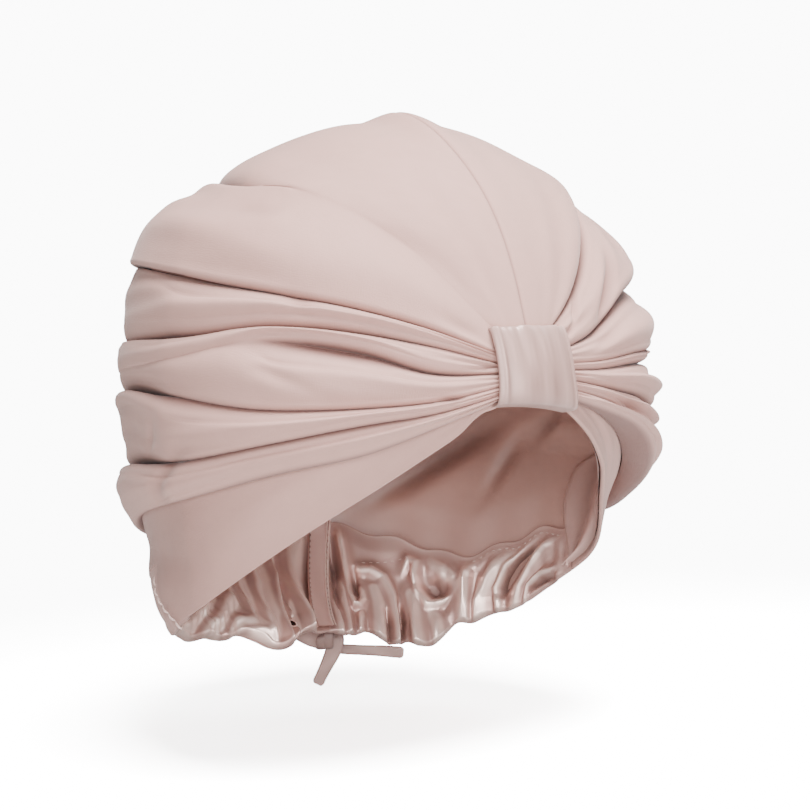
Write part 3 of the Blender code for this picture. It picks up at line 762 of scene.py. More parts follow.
def cloth_material(name, colour, roughness, sheen, bump, specular=0.5, shades=(0.5, 1.12),
                   streak=120.0, contrast=0.05, gloss=0.0, metallic=0.0):
    """Principled cloth. Its colour goes from a deeper one, painted shade, in creases to a lighter
    one, painted highlight, on crests, by the attribute of painted shading, and varies slightly with
    the weave, which is its bump. gloss is how much rougher the creases are than the crests."""
    material, tree, shader = new_material(name)
    weave = add_node(tree, "Group", {"Thread Count": THREAD_COUNT, "Streak": streak},
                     node_tree=weave_group())
    painted_shading = add_node(tree, "Attribute", {}, attribute_name="painted_shading").outputs["Fac"]
    tones = add_node(tree, "ValToRGB", {"Fac": painted_shading})
    # shades gives how dark the painted crease shade and how light the painted crest highlight are;
    # the painted shade in creases is also tinted redder
    deep, high = shades
    crease_tint = (1.0, 0.86, 0.84)
    brightest = 0.92
    ramp = tones.color_ramp
    ramp.elements[0].color = (*[c * deep * tint for c, tint in zip(colour, crease_tint)], 1)
    ramp.elements[1].color = (*[min(0.05 * (high - 1) + c * high, brightest) for c in colour], 1)
    ramp.elements.new(0.5).color = (*colour, 1)
    dim = 1 - 2 * contrast
    tint = add_node(tree, "Mix", {"A": (dim, dim, dim, 1), "B": (1, 1, 1, 1),
                                  "Factor": weave.outputs["Shade"]}, data_type="RGBA")
    uneven = add_node(tree, "Mix", {"Factor": 1.0, "A": tones.outputs["Color"],
                                    "B": tint.outputs["Result"]},
                      data_type="RGBA", blend_type="MULTIPLY")
    bumps = add_node(tree, "Bump", {"Strength": bump, "Distance": BUMP_DISTANCE,
                                    "Height": weave.outputs["Height"]})
    set_inputs(tree, shader, {
        "Base Color": uneven.outputs["Result"], "Roughness": roughness, "Metallic": metallic,
        "Specular IOR Level": specular, "Sheen Weight": sheen, "Sheen Roughness": 0.4,
        "Normal": bumps.outputs["Normal"]})
    if gloss:
        rough = add_node(tree, "MapRange", {"Value": painted_shading, "From Min": 0.1, "From Max": 0.9,
                                            "To Min": roughness + gloss, "To Max": roughness})
        set_inputs(tree, shader, {"Roughness": rough.outputs["Result"]})
    return material


def matte_silk(name, settings):
    """Dull outer silk, with deep painted shade in its creases."""
    return cloth_material(name, settings.silk_colour, roughness=0.68, sheen=0.15, bump=0.45,
                          specular=0.22, shades=(0.40, 1.10), contrast=0.07)


def soft_satin(name, settings, lift=1.0, shades=(0.26, 1.7), metallic=0.45):
    """Satin with a soft gloss that is sharper on the crests. lift is painted light and shade: it
    makes a lighter or darker copy of the satin for each piece, standing in for how lit that piece
    is.
    """
    colour = [min(channel * lift, 1) for channel in settings.satin_colour]
    return cloth_material(name, colour, roughness=0.29, sheen=0.0, bump=0.10, shades=shades,
                          streak=200.0, gloss=0.12, metallic=metallic)


def lining_satin(name, settings):
    """Darker satin of the lining."""
    return cloth_material(name, settings.lining_colour, roughness=0.38, sheen=0.2, bump=0.12,
                          specular=0.6, shades=(0.36, 1.55), streak=160.0, gloss=0.15)


def tie_cloth(name, settings, tone=0.72):
    """Satin ribbon, rubbed dull."""
    colour = [channel * tone for channel in settings.satin_colour]
    return cloth_material(name, colour, roughness=0.5, sheen=0.15, bump=0.2, specular=0.4,
                          shades=(0.4, 1.5), streak=160.0)


def plain_thread(name, settings):
    """Thread of the stitches."""
    return cloth_material(name, settings.thread_colour, roughness=0.5, sheen=0.2, bump=0.1)


def hole_shade(name):
    """Near black of the eyelet's hole."""
    return cloth_material(name, (0.035, 0.016, 0.013), roughness=0.8, sheen=0.0, bump=0.2,
                          specular=0.1)


# Pieces

class TURBAN_OT_crown(bpy.types.Operator):
    """Make both halves of the crown, gathered into folds"""

    bl_idname = "turban.crown"
    bl_label = "Crown"

    def execute(self, context):
        settings = context.scene.turban
        for half, side, creases, hollows in HALVES:
            node = "crown_" + half
            grid = crown_points(side, creases, hollows, settings)
            piece = add_cloth(node + "_cloth", grid, matte_silk(node + "_silk", settings), [node],
                              "silk", flip=side > 0)
        return {"FINISHED"}


class TURBAN_OT_band(bpy.types.Operator):
    """Make both halves of the smooth band, with a turned hem"""

    bl_idname = "turban.band"
    bl_label = "Band"

    def execute(self, context):
        settings = context.scene.turban
        for half, side, creases, _ in HALVES:
            node = "band_" + half
            piece = add_cloth(node + "_cloth", band_points(side, creases),
                              matte_silk(node + "_silk", settings), [node], "silk", flip=side > 0)
        return {"FINISHED"}


BAND_FIRST = 4          # azimuth where the band starts, under the loop
BAND_UNDERLAP = 1.6     # degrees that it goes up under the crown
BAND_CLIMB = 11         # degrees of azimuth in which its edge climbs past BAND_END
BAND_TURN_UP = 5.5      # degrees that its hem goes up inside
BAND_RIPPLE = 0.0006


def band_points(side, creases):
    """Grid of one half of the band, and its painted shading: from under the crown's lowest fold
    down the form to the lower edge, round the hem's small arc and up again inside it. Past BAND_END
    the lower edge climbs on a smooth step to the casing's upper seam. The painted shade darkens it
    backwards, more on the wearer's right."""
    azimuth = np.linspace(BAND_FIRST, 180, 300)
    top = curve_through(azimuth, STATIONS, creases[-1][1]) + BAND_UNDERLAP
    low = low_edge(azimuth) + CASING_HEIGHT * ease((azimuth - BAND_END) / BAND_CLIMB)
    low = low + 1.5 * bell(azimuth, 13.5, 3.6) * (side < 0)
    lines = []
    for place in np.linspace(0, 1, 60)**0.9:
        pull = BAND_RIPPLE * waves(place * 0.9 - azimuth / 60, azimuth / 90, 3 + side, 4)
        lines.append((top + (low - top) * place, pull * math.sin(math.pi * place)))
    for turn in np.radians(np.arange(20, 181, 20)):
        lines.append((low - np.degrees(BAND_HEM / 0.12) * math.sin(turn),
                      -BAND_HEM * (1 - math.cos(turn))))
    for place in np.linspace(0.1, 1, 8):
        lines.append((low + BAND_TURN_UP * place, -2 * BAND_HEM))
    points = np.array([
        form_point(direction(side * azimuth, elevation), offset - edge_tuck(azimuth, elevation))
        for elevation, offset in lines])
    # Painted shade: darker backwards, more on the wearer's right
    shade = 0.14 * ease((azimuth - 55) / 45) if side < 0 else 0.06 * ease(azimuth / 60)
    return on_own_side(points, side), 0.5 - shade


class TURBAN_OT_loop(bpy.types.Operator):
    """Make the satin loop that holds the gathers at the front"""

    bl_idname = "turban.front_loop"
    bl_label = "Front loop"

    def execute(self, context):
        # The loop's satin is a darker copy: painted shade
        satin = soft_satin("front_loop_satin", context.scene.turban, 0.75, (0.35, 1.8), 0.15)
        piece = add_cloth("front_loop_cloth", loop_points(), satin, ["front_loop"], flip=True)
        return {"FINISHED"}


LOOP_WIDTH = 0.036
LOOP_TOP = 28.5
LOOP_BOTTOM = 10.7
LOOP_THICKNESS = 0.0095
LOOP_HEM = 0.0010
LOOP_SAG = np.degrees(0.0012 / 0.11)
LOOP_FADE = 7.0         # how fast the puckers fade down the loop

# Half widths of the loop in shares of LOOP_WIDTH / 2: at its top, what its bottom adds to that,
# and what mid height adds
LOOP_LEFT = (0.95, 0.05, -0.07)
LOOP_RIGHT = (1.21, -0.09, -0.02)

# Puckers: height in metres, waves across, and where each starts
LOOP_PUCKERS = ((0.0006, 8.2, 0.9), (0.0004, 15.5, 2.2), (0.0002, 27, 0))

# Down the loop: share of the way from LOOP_TOP to LOOP_BOTTOM, offset in shares of LOOP_THICKNESS
LOOP_PROFILE = (
    (0.10, 0.10), (0.05, 0.30), (0.01, 0.45), (0.0, 0.58), (0.03, 0.68), (0.12, 0.76), (0.32, 0.84),
    (0.55, 0.87), (0.76, 0.84), (0.89, 0.76), (0.945, 0.60), (0.955, 0.2), (0.94, -0.4),
    (0.84, -0.70), (0.62, -0.74),
)

# Painted sheen of the loop's satin, soft streaks of painted highlight and painted shade: place
# across from -1 to 1 and place down from 0 to 1, width and height of each, lean across for one
# place down, and how much lighter it is
SHEEN_COLUMNS = ("across", "down", "width", "height", "lean", "light")
LOOP_PAINTED_SHEEN = (
    (-0.82, 0.50, 0.06, 0.9, 0.03, -0.30), (-0.62, 0.30, 0.10, 0.30, 0.10, 0.16),
    (-0.40, 0.22, 0.08, 0.22, 0.15, -0.14), (-0.22, 0.38, 0.14, 0.30, 0.20, 0.20),
    (0.02, 0.20, 0.09, 0.20, 0.10, -0.16), (0.20, 0.32, 0.10, 0.25, 0.15, 0.14),
    (0.45, 0.22, 0.12, 0.22, 0.10, -0.12), (0.62, 0.35, 0.10, 0.25, 0.0, 0.10),
    (-0.50, 0.80, 0.20, 0.22, -0.10, 0.26), (-0.12, 0.72, 0.14, 0.22, -0.10, -0.16),
    (0.12, 0.80, 0.12, 0.25, 0.05, 0.22), (0.34, 0.78, 0.09, 0.26, 0.12, -0.26),
    (0.66, 0.78, 0.14, 0.30, 0.05, 0.24), (0.90, 0.55, 0.05, 0.8, -0.03, -0.26),
)


def loop_points():
    """Grid of the loop, and its painted shading: a smooth curve through the profile carried across,
    whose side edges turn in on small arcs and bow inwards at mid height, with puckers that fade
    below its upper edge. The painted shading adds painted highlights on the puckers and the turned
    edges, the painted sheen streaks, and painted shade lower down."""
    profile = np.array(LOOP_PROFILE)
    steps = np.arange(len(profile))
    lines = np.linspace(0, steps[-1], 170)
    places, lifts = (curve_through(lines, steps, column) for column in profile.T)
    face = np.linspace(-1, 1, 161)
    turn = math.pi * np.linspace(0, 1, 12)[1:]
    bow, bend = LOOP_HEM * np.sin(turn), LOOP_HEM * (1 - np.cos(turn))
    dip = np.concatenate([bend[::-1], 0 * face, bend])
    rows, painted_shading = [], []
    for place, lift in zip(places, lifts):
        level = min(max(place, 0.0), 1.0)
        middle = math.sin(math.pi * level)
        left, right = (LOOP_WIDTH / 2 * (top + level * more + middle * bulge)
                       for top, more, bulge in (LOOP_LEFT, LOOP_RIGHT))
        out = face * (left + right) / 2 + (right - left) / 2
        out = np.concatenate([-left - bow[::-1], out, right + bow])
        x = np.where(out < 0, out / left, out / right)
        edge = 0.0008 * (bell(x, -0.90, 0.05) + 0.8 * bell(x, 0.96, 0.04))
        pucker = math.exp(-LOOP_FADE * max(place, 0)) * sum(
            height * np.cos(fine * x + start) for height, fine, start in LOOP_PUCKERS)
        drape = middle * (0.0006 * np.sin(2.9 * x + 1.9 * place + 0.4)
                          + 0.00025 * np.sin(6.3 * x - 2.4 * place))
        sag = LOOP_SAG * (1 - x**2) * level
        tilt = level * (0.4 + 1.4 * x) + 0.4 * (1 - level) * x
        elevation = LOOP_TOP + (LOOP_BOTTOM - LOOP_TOP) * place + sag - tilt
        lifted = max(lift, 0.0)
        # Painted highlight on the puckers and on the turned edges, soft waves, and the painted
        # sheen streaks
        light = 60 * pucker + 300 * edge + 0.13 * waves(3.4 * x, 3.0 * place, 41, 9, 0.6, 2.2)
        for row in LOOP_PAINTED_SHEEN:
            streak = dict(zip(SHEEN_COLUMNS, row))
            middle_line = streak["across"] + streak["lean"] * (place - 0.5)
            light = light + (streak["light"] * bell(x, middle_line, streak["width"])
                             * bell(place, streak["down"], streak["height"]))
        offset = LOOP_THICKNESS * lift - dip * (lift > 0) + (pucker + drape + edge) * lifted
        rows.append(form_point(direction(np.degrees(out / FRONT_DEPTH), elevation), offset))
        # Painted shade makes the loop darker lower down
        painted_shading.append(0.50 + (0.62 * light - 0.14 * ease((place - 0.1) * 1.2)) * lifted)
    return np.array(rows), np.array(painted_shading)


class TURBAN_OT_lining(bpy.types.Operator):
    """Make the lining, with soft folds slanting down its inside"""

    bl_idname = "turban.lining"
    bl_label = "Lining"

    def execute(self, context):
        piece = add_cloth("lining_cloth", lining_points(),
                          lining_satin("lining_satin", context.scene.turban), ["lining"],
                          "lining", close_columns=True)
        return {"FINISHED"}


# Soft folds of the lining, in the same columns as the dents, over the whole turn of azimuth
LINING_FOLDS = (
    (138, -9.8, 26, 3.0, -0.46, 5.0), (152, -22.5, 15, 3.4, 0.12, 3.0),
    (104, -1.5, 10, 3.0, -0.58, 3.6), (117, -9.5, 8, 2.8, -1.0, 2.4),
    (125, 8.0, 16, 3.0, -0.40, 3.6), (160, 6.0, 18, 3.2, -0.30, 3.6),
    (172, -8.0, 14, 2.4, 0.5, 3.4),
    (196, -4.0, 18, 2.8, 0.45, 4.2), (214, -12.0, 16, 2.6, 0.5, 4.8),
    (236, -3.0, 18, 2.6, 0.5, 4.4),
    (205, 14.0, 22, 3.4, 0.3, 3.6), (248, 12.0, 16, 3.0, 0.4, 3.6),
    (262, -9.0, 12, 2.2, 0.5, 3.6),
    (100, 16.0, 14, 2.8, -0.4, 3.4), (80, 8.0, 12, 2.6, -0.45, 3.4),
    (280, 6.0, 12, 2.6, 0.45, 3.4),
    (60, 22.0, 14, 3.0, -0.4, 3.0), (300, 22.0, 14, 3.0, 0.4, 3.0),
    (180, 32.0, 24, 3.6, 0.2, 3.0),
)


LINING_SLACK = 0.0062   # how far the lining hangs inside its own line where it is loose
LINING_DRIFT = 0.0012   # height of its broad waves
LINING_REACH = 0.0058   # how far its folds may go back out
LINING_TOP = 89.6       # elevation of its uppermost row, by the form's pole


def lining_points():
    """Grid of the lining, and its painted shading: the form's inside from near its pole to the
    casing and the front hem. It hangs clear of the form, and its folds go back out towards it. Near
    its edges, at the wrap's lower corners and behind the casing's facing it lies close. Its folds
    get painted shade, and it has a painted sheen on the far wall."""
    azimuth = np.linspace(0, 360, 420, endpoint=False)
    front = from_front(azimuth)
    at_casing = front > CASING_START
    low = low_edge(front) + 0.6 + 2.4 * ease((front - CASING_START) / 4)
    place = np.linspace(0, 1, 190)[:, None]**0.85
    elevation = LINING_TOP * (1 - place) + low * place
    covered = low_edge(front) + CASING_HEIGHT * facing_top(azimuth) * at_casing
    corner = ease((front - 56) / 8) * ease((124 - front) / 28) * ease((1.0 - elevation) / 9)
    loose = ease(place * 2.5) * ease((elevation - np.maximum(low, covered) + 1.0) / 10)
    loose = loose * (1 - corner)
    folds = dents(azimuth, elevation, LINING_FOLDS)
    drift = waves(azimuth / 72, elevation / 70, 23, 4, 0.8, 1.7)
    hidden = ease((covered - elevation) / 1.5) * at_casing
    offset = (LINING_OFFSET - loose * (LINING_SLACK + LINING_DRIFT * drift)
              + loose * np.minimum(folds, LINING_REACH))
    offset = np.minimum(offset + 0.0016 * hidden, LINING_OFFSET - 0.0010 * loose)
    offset = offset - edge_tuck(front, elevation)
    # A painted sheen: a light patch in the middle of the far wall and a smaller one beside it. The
    # folds get painted shade
    glow = bell(azimuth, 137, 24) * bell(elevation + 0.35 * (azimuth - 137), -15, 8)
    glow = glow + 0.6 * bell(azimuth, 112, 9) * bell(elevation, -1, 5)
    painted_shading = 0.5 + 0.34 * glow + 0.06 * drift - 100 * folds * loose
    return form_point(direction(azimuth, elevation), offset), painted_shading


class TURBAN_OT_casing(bpy.types.Operator):
    """Make the gathered casing round the nape"""

    bl_idname = "turban.casing"
    bl_label = "Casing"

    def execute(self, context):
        settings = context.scene.turban
        points, painted_shading = casing_points(settings)
        mesh = grid_mesh("casing_cloth", points, painted_shading, flip=True)
        silk = matte_silk("casing_silk", settings)
        satin = soft_satin("casing_satin", settings, 1.0, (0.22, 1.9), 0.5)
        piece = add_piece("casing_cloth", mesh, [silk, satin], ["back_casing"])
        slots = np.zeros((len(points) - 1, points.shape[1] - 1), np.int32)
        slots[CASING_OUTER_ROWS:] = 1
        mesh.polygons.foreach_set("material_index", slots.ravel())
        return {"FINISHED"}


# Height of the casing's facing on the inside, in shares of CASING_HEIGHT, over azimuth from front
FACING_STATIONS = (94, 104, 112, 121, 130, 139, 146, 155, 163, 172, 180)
FACING_HEIGHT = (0.62, 0.72, 0.80, 0.95, 0.98, 1.38, 1.67, 1.78, 1.98, 2.05, 2.1)

# Scallops of the lower edge: how many degrees it hangs below its line, over the whole turn
SCALLOP_STATIONS = (94, 103, 109, 114, 120, 126, 131, 137, 142, 146, 150, 155, 159, 163, 168, 172,
                    176, 181, 186, 191, 198, 204, 208, 213, 219, 226, 233, 240, 247, 254, 266)
SCALLOPS = (0, 0.5, 1.2, 1.3, 0, -0.2, -1.8, 1.6, 1.2, -0.5, 0.4, -0.4, -2.2, -0.8, 1.0, 1.8,
            1.2, 2.2, 2.2, 2.4, 4.8, 5.6, 3.4, -1.2, -0.8, -1.6, -0.9, -1.6, -0.6, -0.3, 0)

# Gathers of the facing: half width in millimetres, and points of the crest line, each with its
# azimuth, its height in shares of CASING_HEIGHT, and how far it stands in millimetres. Laid flat,
# a degree of azimuth is MM_ACROSS, and the casing's height is MM_UP.
MM_ACROSS = 1.7
MM_UP = 34.0
RUFFLES = (
    (3.4, ((264, 0.0, 3.2), (256, 0.3, 3.6), (248, 0.5, 2.6))),
    (3.9, ((256, -0.1, 3.9), (246, 0.15, 4.5), (236, 0.35, 3.9), (229, 0.6, 1.3))),
    (4.3, ((246, -0.1, 4.5), (236, 0.1, 5.7), (226, 0.33, 6.0), (219, 0.6, 3.9),
           (216, 0.8, 1.3))),
    (4.3, ((231, -0.1, 5.7), (217, 0.32, 6.8), (211, 0.64, 6.0), (208, 0.95, 2.6))),
    (3.6, ((221, -0.1, 4.9), (208.5, 0.32, 5.7), (203.5, 0.7, 4.9), (200, 1.05, 2.6))),
    (3.8, ((214, -0.1, 5.7), (200.4, 0.4, 7.0), (196.2, 0.87, 6.2), (194, 1.25, 3.9),
           (192, 1.6, 1.3))),
    (3.4, ((207, -0.25, 7.0), (200.7, 0.0, 7.8), (193.9, 0.59, 8.6), (190.6, 0.96, 7.8),
           (188, 1.3, 5.7), (185, 1.7, 2.6))),
    (2.1, ((195.1, -0.04, 5.5), (192.2, 0.31, 4.9), (189, 0.63, 1.6))),
    (6.0, ((187.5, -0.1, 6.0), (184.4, 0.38, 7.8), (181.7, 0.83, 7.8), (177.6, 1.4, 5.7),
           (173, 1.9, 2.6))),
    (2.6, ((172.8, -0.1, 3.4), (170.8, 0.4, 3.8), (168.5, 0.7, 1.5))),
    (2.9, ((168.5, -0.05, 4.4), (166.6, 0.4, 4.6), (165.4, 0.8, 3.6), (165, 1.1, 1.5))),
    (2.1, ((162.6, 2.0, 3), (162.2, 1.5, 4.2), (162.2, 1.1, 5), (162.4, 0.75, 5.2),
           (161.8, 0.5, 5.2), (160, 0.46, 5.2), (158.6, 0.62, 4.6), (158.6, 0.82, 3.4),
           (159.2, 0.98, 1.5))),
    (2.6, ((161.8, -0.06, 3.8), (160.5, 0.2, 3.6), (159.5, 0.4, 1.5))),
    (3.6, ((155.6, -0.08, 5.0), (154.9, 0.3, 5.2), (154.6, 0.6, 4.6), (155.2, 0.9, 3.4))),
    (2.7, ((149.2, -0.05, 5.8), (149.9, 0.35, 6), (151, 0.75, 5.8), (153, 1.07, 5.4),
           (155.6, 1.2, 4.6), (158.4, 1.22, 3), (160.5, 1.2, 0.6))),
    (4.4, ((141.0, -0.12, 6.2), (141.9, 0.2, 6.2), (142.8, 0.48, 5), (144, 0.75, 3))),
    (3.0, ((135.6, -0.05, 4.8), (136.5, 0.2, 4.8), (138, 0.42, 3.2))),
    (2.3, ((147, 1.1, 1.5), (144.4, 1.3, 3.2), (142.0, 1.2, 4.4), (142.6, 1.0, 5),
           (141.6, 0.76, 5.2), (138.6, 0.52, 5), (134.5, 0.46, 4))),
    (3.2, ((139, 1.2, 2.0), (136, 0.98, 3.4), (133, 0.74, 4.0), (131.5, 0.5, 3.5))),
    (4.4, ((129.0, -0.08, 5.6), (129.4, 0.3, 6.4), (129.7, 0.6, 6.4), (128.2, 0.78, 5.4),
           (124.4, 0.86, 4), (118, 0.83, 2.8), (110, 0.8, 1.6))),
    (4.6, ((123, -0.05, 4.8), (123.4, 0.2, 5.2), (121, 0.42, 5), (116.5, 0.66, 3.6),
           (109, 0.76, 2))),
    (1.7, ((117.8, 0.0, 5), (118.4, 0.26, 5.2), (116.2, 0.5, 4.8), (111, 0.66, 3.4),
           (106, 0.72, 2))),
    (3.0, ((113.4, 0.0, 4.4), (112.4, 0.2, 4.8), (109, 0.36, 4.4), (103.5, 0.47, 3.4),
           (98, 0.52, 2))),
    (1.5, ((109.8, 0.0, 4.2), (108.9, 0.13, 4.2), (104.6, 0.15, 3.8), (100.5, 0.09, 3))),
    (2.4, ((107.6, -0.08, 3.4), (103.4, -0.06, 3.4), (99.5, -0.06, 2.5))),
)

# Hollows between the gathers, in the same columns, as deep as the third value of each point
HOLLOWS = (
    (3.0, ((140.8, 0.86, 2.5), (138.1, 0.73, 4.6), (135.2, 0.64, 2.0))),
    (1.9, ((117.2, 0.18, 2.5), (115.4, 0.36, 5.5), (112.4, 0.48, 5.0), (106.9, 0.59, 2.0))),
    (1.5, ((107.5, 0.07, 2.5), (104.4, 0.05, 4.0), (100.3, -0.01, 2.0))),
    (1.7, ((147.9, -0.1, 5.0), (147.7, 0.25, 5.0), (148.3, 0.5, 3.0), (149.2, 0.7, 0))),
    (2.0, ((165.5, 1.8, 3.0), (165.6, 1.2, 4.5), (167, 0.8, 3.5), (169.4, 0.45, 1))),
    (2.4, ((160.5, 1.2, 2.0), (160.6, 0.98, 4.5), (160.9, 0.76, 2.5))),
    (1.3, ((152.5, -0.1, 3.0), (152.3, 0.3, 3.0), (153.2, 0.55, 0))),
    (1.6, ((193.6, 0.10, 2.0), (192.0, 0.24, 2.5))),
)


def line_reach(azimuth, up, line):
    """Nearest part of a line of points, on the cloth laid flat: its distance in millimetres, and
    the third value of the line there."""
    nearest = np.full(np.broadcast(azimuth, up).shape, 1e6)
    value = 0 * nearest
    for start, end in zip(line, line[1:]):
        step, gap = (((there - start[0]) * MM_ACROSS, (high - start[1]) * MM_UP)
                     for there, high in ((end[0], end[1]), (azimuth, up)))
        share = np.clip((gap[0] * step[0] + gap[1] * step[1]) / (step[0]**2 + step[1]**2), 0, 1)
        distance = np.hypot(gap[0] - share * step[0], gap[1] - share * step[1])
        closer = distance < nearest
        nearest = np.where(closer, distance, nearest)
        value = np.where(closer, start[2] + (end[2] - start[2]) * share, value)
    return nearest, value


def gathers(azimuth, up):
    """Height of the gathers in metres, and their painted shading. Across its crest line each is a
    tent with a round top, and the highest wins, softly. The hollows are bell-shaped and come off.
    The painted shading is painted shade in valleys and hollows and painted highlight on the crests."""
    sharp = 1.3
    flat = 0 * azimuth * up
    total = np.exp(-0.5 * sharp + flat)
    crest, near, pressed = flat, flat, flat
    for width, line in RUFFLES:
        distance, tall = line_reach(azimuth, up, line)
        shape = 1.22 - np.hypot(distance / (1.9 * width), 0.22)
        weight = np.exp(sharp * tall * np.maximum(shape, -0.8))
        total = total + weight
        crest = crest + weight * np.clip(shape, 0, 1)
        near = np.maximum(near, ease(tall / 3) * bell(distance, 0, 1.5 * width))
    crest = crest / total
    for width, line in HOLLOWS:
        distance, deep = line_reach(azimuth, up, line)
        pressed = pressed + deep / 1000 * bell(distance, 0, width)
    fine = 0.0002 * np.sin(azimuth * 1.7 + 3 * np.sin(azimuth / 7) + 2 * up) * ease(1.6 - up)
    shoulder_highlight = 0.50 * ease((crest - 0.58) / 0.30)
    valley_shade = -0.34 * (1 - ease(crest / 0.42))
    painted_shading = 0.5 + near * (shoulder_highlight + valley_shade) - 75 * pressed
    return np.log(total) / sharp / 1000 + fine - pressed, painted_shading


ENDS_SPAN = 4           # degrees over which the gathers grow from the casing's ends
TAPE_CALM = 4.4         # degrees to each side of the tape where they are flat
EDGE_FADE = 0.30        # share of CASING_HEIGHT over which they fade to the facing's edge
GATHER_HANG = 0.25      # how far each gather hangs, and leans aside, in shares of its height
GATHER_LEAN = 0.35
CASING_THICKNESS = 0.0026


def casing_row(azimuth, up, inward, full, tall, turn_in=0.0):
    """Points and painted shading of the casing along one line, at heights in shares of
    CASING_HEIGHT.
    inward goes from 0 outside to 1 inside, full is how much higher the gathers are than in their
    table, and tall is how high the facing goes. The gathers stand inwards, lean sideways, and die
    out at the ends, at the tape and at the facing's upper edge."""
    front = from_front(azimuth)
    seam_line = 180 - tape_lean(np.clip(up * CASING_HEIGHT / TAPE_HEIGHT, 0, 1))
    fade = ease((front - CASING_FIRST) / ENDS_SPAN) * (1 - bell(azimuth, seam_line, TAPE_CALM, 4))
    fade = fade * ease((tall - up) / EDGE_FADE)
    height = full * gathers(azimuth, up)[0] * fade
    # Painted highlight on the gathers' shoulders and painted shade in their valleys and hollows,
    # shifted past 172 degrees towards the flanks that face the camera
    light = gathers(azimuth + 1.8 * ease((azimuth - 172) / 12), up)[1] - 0.5
    hang = np.degrees(GATHER_HANG * height / 0.12) * ease(1 - up / 0.8)
    hang = hang + curve_through(azimuth, SCALLOP_STATIONS, SCALLOPS) * ease(1 - up / 0.9)
    elevation = low_edge(front) + CASING_HEIGHT * up - hang
    shift = np.degrees(GATHER_LEAN * height / 0.105) * np.sin(azimuth / 3.1) * inward
    standing = -0.0046 * ease((up + 0.3) / 0.5) - 0.0030 * ease((up - 0.7) / 1.2)
    outer = -0.0006 - 0.45 * height * ease(1 - up)
    inner = np.minimum(standing - height, outer - CASING_THICKNESS)
    offset = outer + (inner - outer) * inward - edge_tuck(front, elevation)
    # Past 184 degrees the painted shading is stronger; soft patches of painted sheen go up the
    # facing; the stitched row is darker; a painted highlight runs along the facing's upper edge
    strength = 1 + 0.2 * ease((azimuth - 184) / 8)
    painted_sheen = 0.12 * waves(azimuth / 26 - 0.3 * up, up, 61, 5, 0.7, 2.4) * ease(up / 0.4)
    stitched = 0.05 * bell(up, 1.33, 0.04) * bell(azimuth, 152, 9, 4)
    edge = 0.12 * bell(tall, up, 0.035)
    painted_shading = 0.5 + (light * fade * strength + painted_sheen - stitched + edge) * inward
    return form_point(direction(azimuth + shift, elevation - turn_in), offset), painted_shading


def facing_top(azimuth):
    """Height of the facing's upper edge in shares of CASING_HEIGHT, with small waves."""
    tall = curve_through(from_front(azimuth), FACING_STATIONS, FACING_HEIGHT)
    return tall + 0.05 * np.sin(azimuth / 4.0) + 0.03 * np.sin(azimuth / 2.3)


def facing_line(azimuth, settings, below=0.0, up=None):
    """Points and painted shading along the casing's inner facing, at shares of CASING_HEIGHT
    below its upper edge or above its lower edge."""
    tall = facing_top(azimuth)
    height = tall - below if up is None else up + 0 * azimuth
    return casing_row(azimuth, height, 1.0, settings.ruffle_depth / RUFFLE_DEPTH, tall)


def casing_points(settings):
    """Grid of the casing, and its painted shading: down its outer face, round the lower edge and up
    its inner facing, whose upper edge turns back to the lining under painted shade."""
    azimuth = np.linspace(CASING_FIRST, 360 - CASING_FIRST, 640)
    tall = facing_top(azimuth)
    full = settings.ruffle_depth / RUFFLE_DEPTH
    places = [(up, 0.0, 0.0) for up in np.linspace(0.97, 0.0, 26)]
    places += [(0.0, (1 - math.cos(turn)) / 2, 0.75 * math.sin(turn))
               for turn in np.linspace(0, math.pi, 10)[1:-1]]
    places += [(share * tall, 1.0, 0.0) for share in np.linspace(0, 1, 118)]
    rows = [casing_row(azimuth, up, inward, full, tall, turn_in)
            for up, inward, turn_in in places]
    # Where the upper edge turns back to the lining its painted shade deepens
    for drop in (0.25, 0.7, 1.6):
        edge, light = facing_line(azimuth, settings, below=0.01 * drop)
        rows.append((edge + unit(edge - FORM_CENTRE) * 0.0016 * drop, light - 0.3 * drop))
    points, painted_shading = (np.array(part) for part in zip(*rows))
    return points, painted_shading


class TURBAN_OT_facing(bpy.types.Operator):
    """Make the satin facing inside each back corner of the band"""

    bl_idname = "turban.facing"
    bl_label = "Band facing"

    def execute(self, context):
        settings = context.scene.turban
        for name, side in (("band_facing_right", -1), ("band_facing_left", 1)):
            # The facing's satin is a slightly darker copy: painted shade
            satin = soft_satin(name + "_satin", settings, 0.92, (0.34, 1.6), 0.2)
            piece = add_cloth(name, facing_points(side), satin, flip=side < 0)
        return {"FINISHED"}


# Edge of the band's facing towards the lining: elevation and azimuth
FACING_EDGE_ELEVATION = (-36, -30, -25, -20, -18, -13.5, -10, -6, 0)
FACING_EDGE = (97, 95, 97, 98, 98, 96, 93, 83, 62)
FACING_TOP = -2.0
FACING_BOTTOM = -31.5


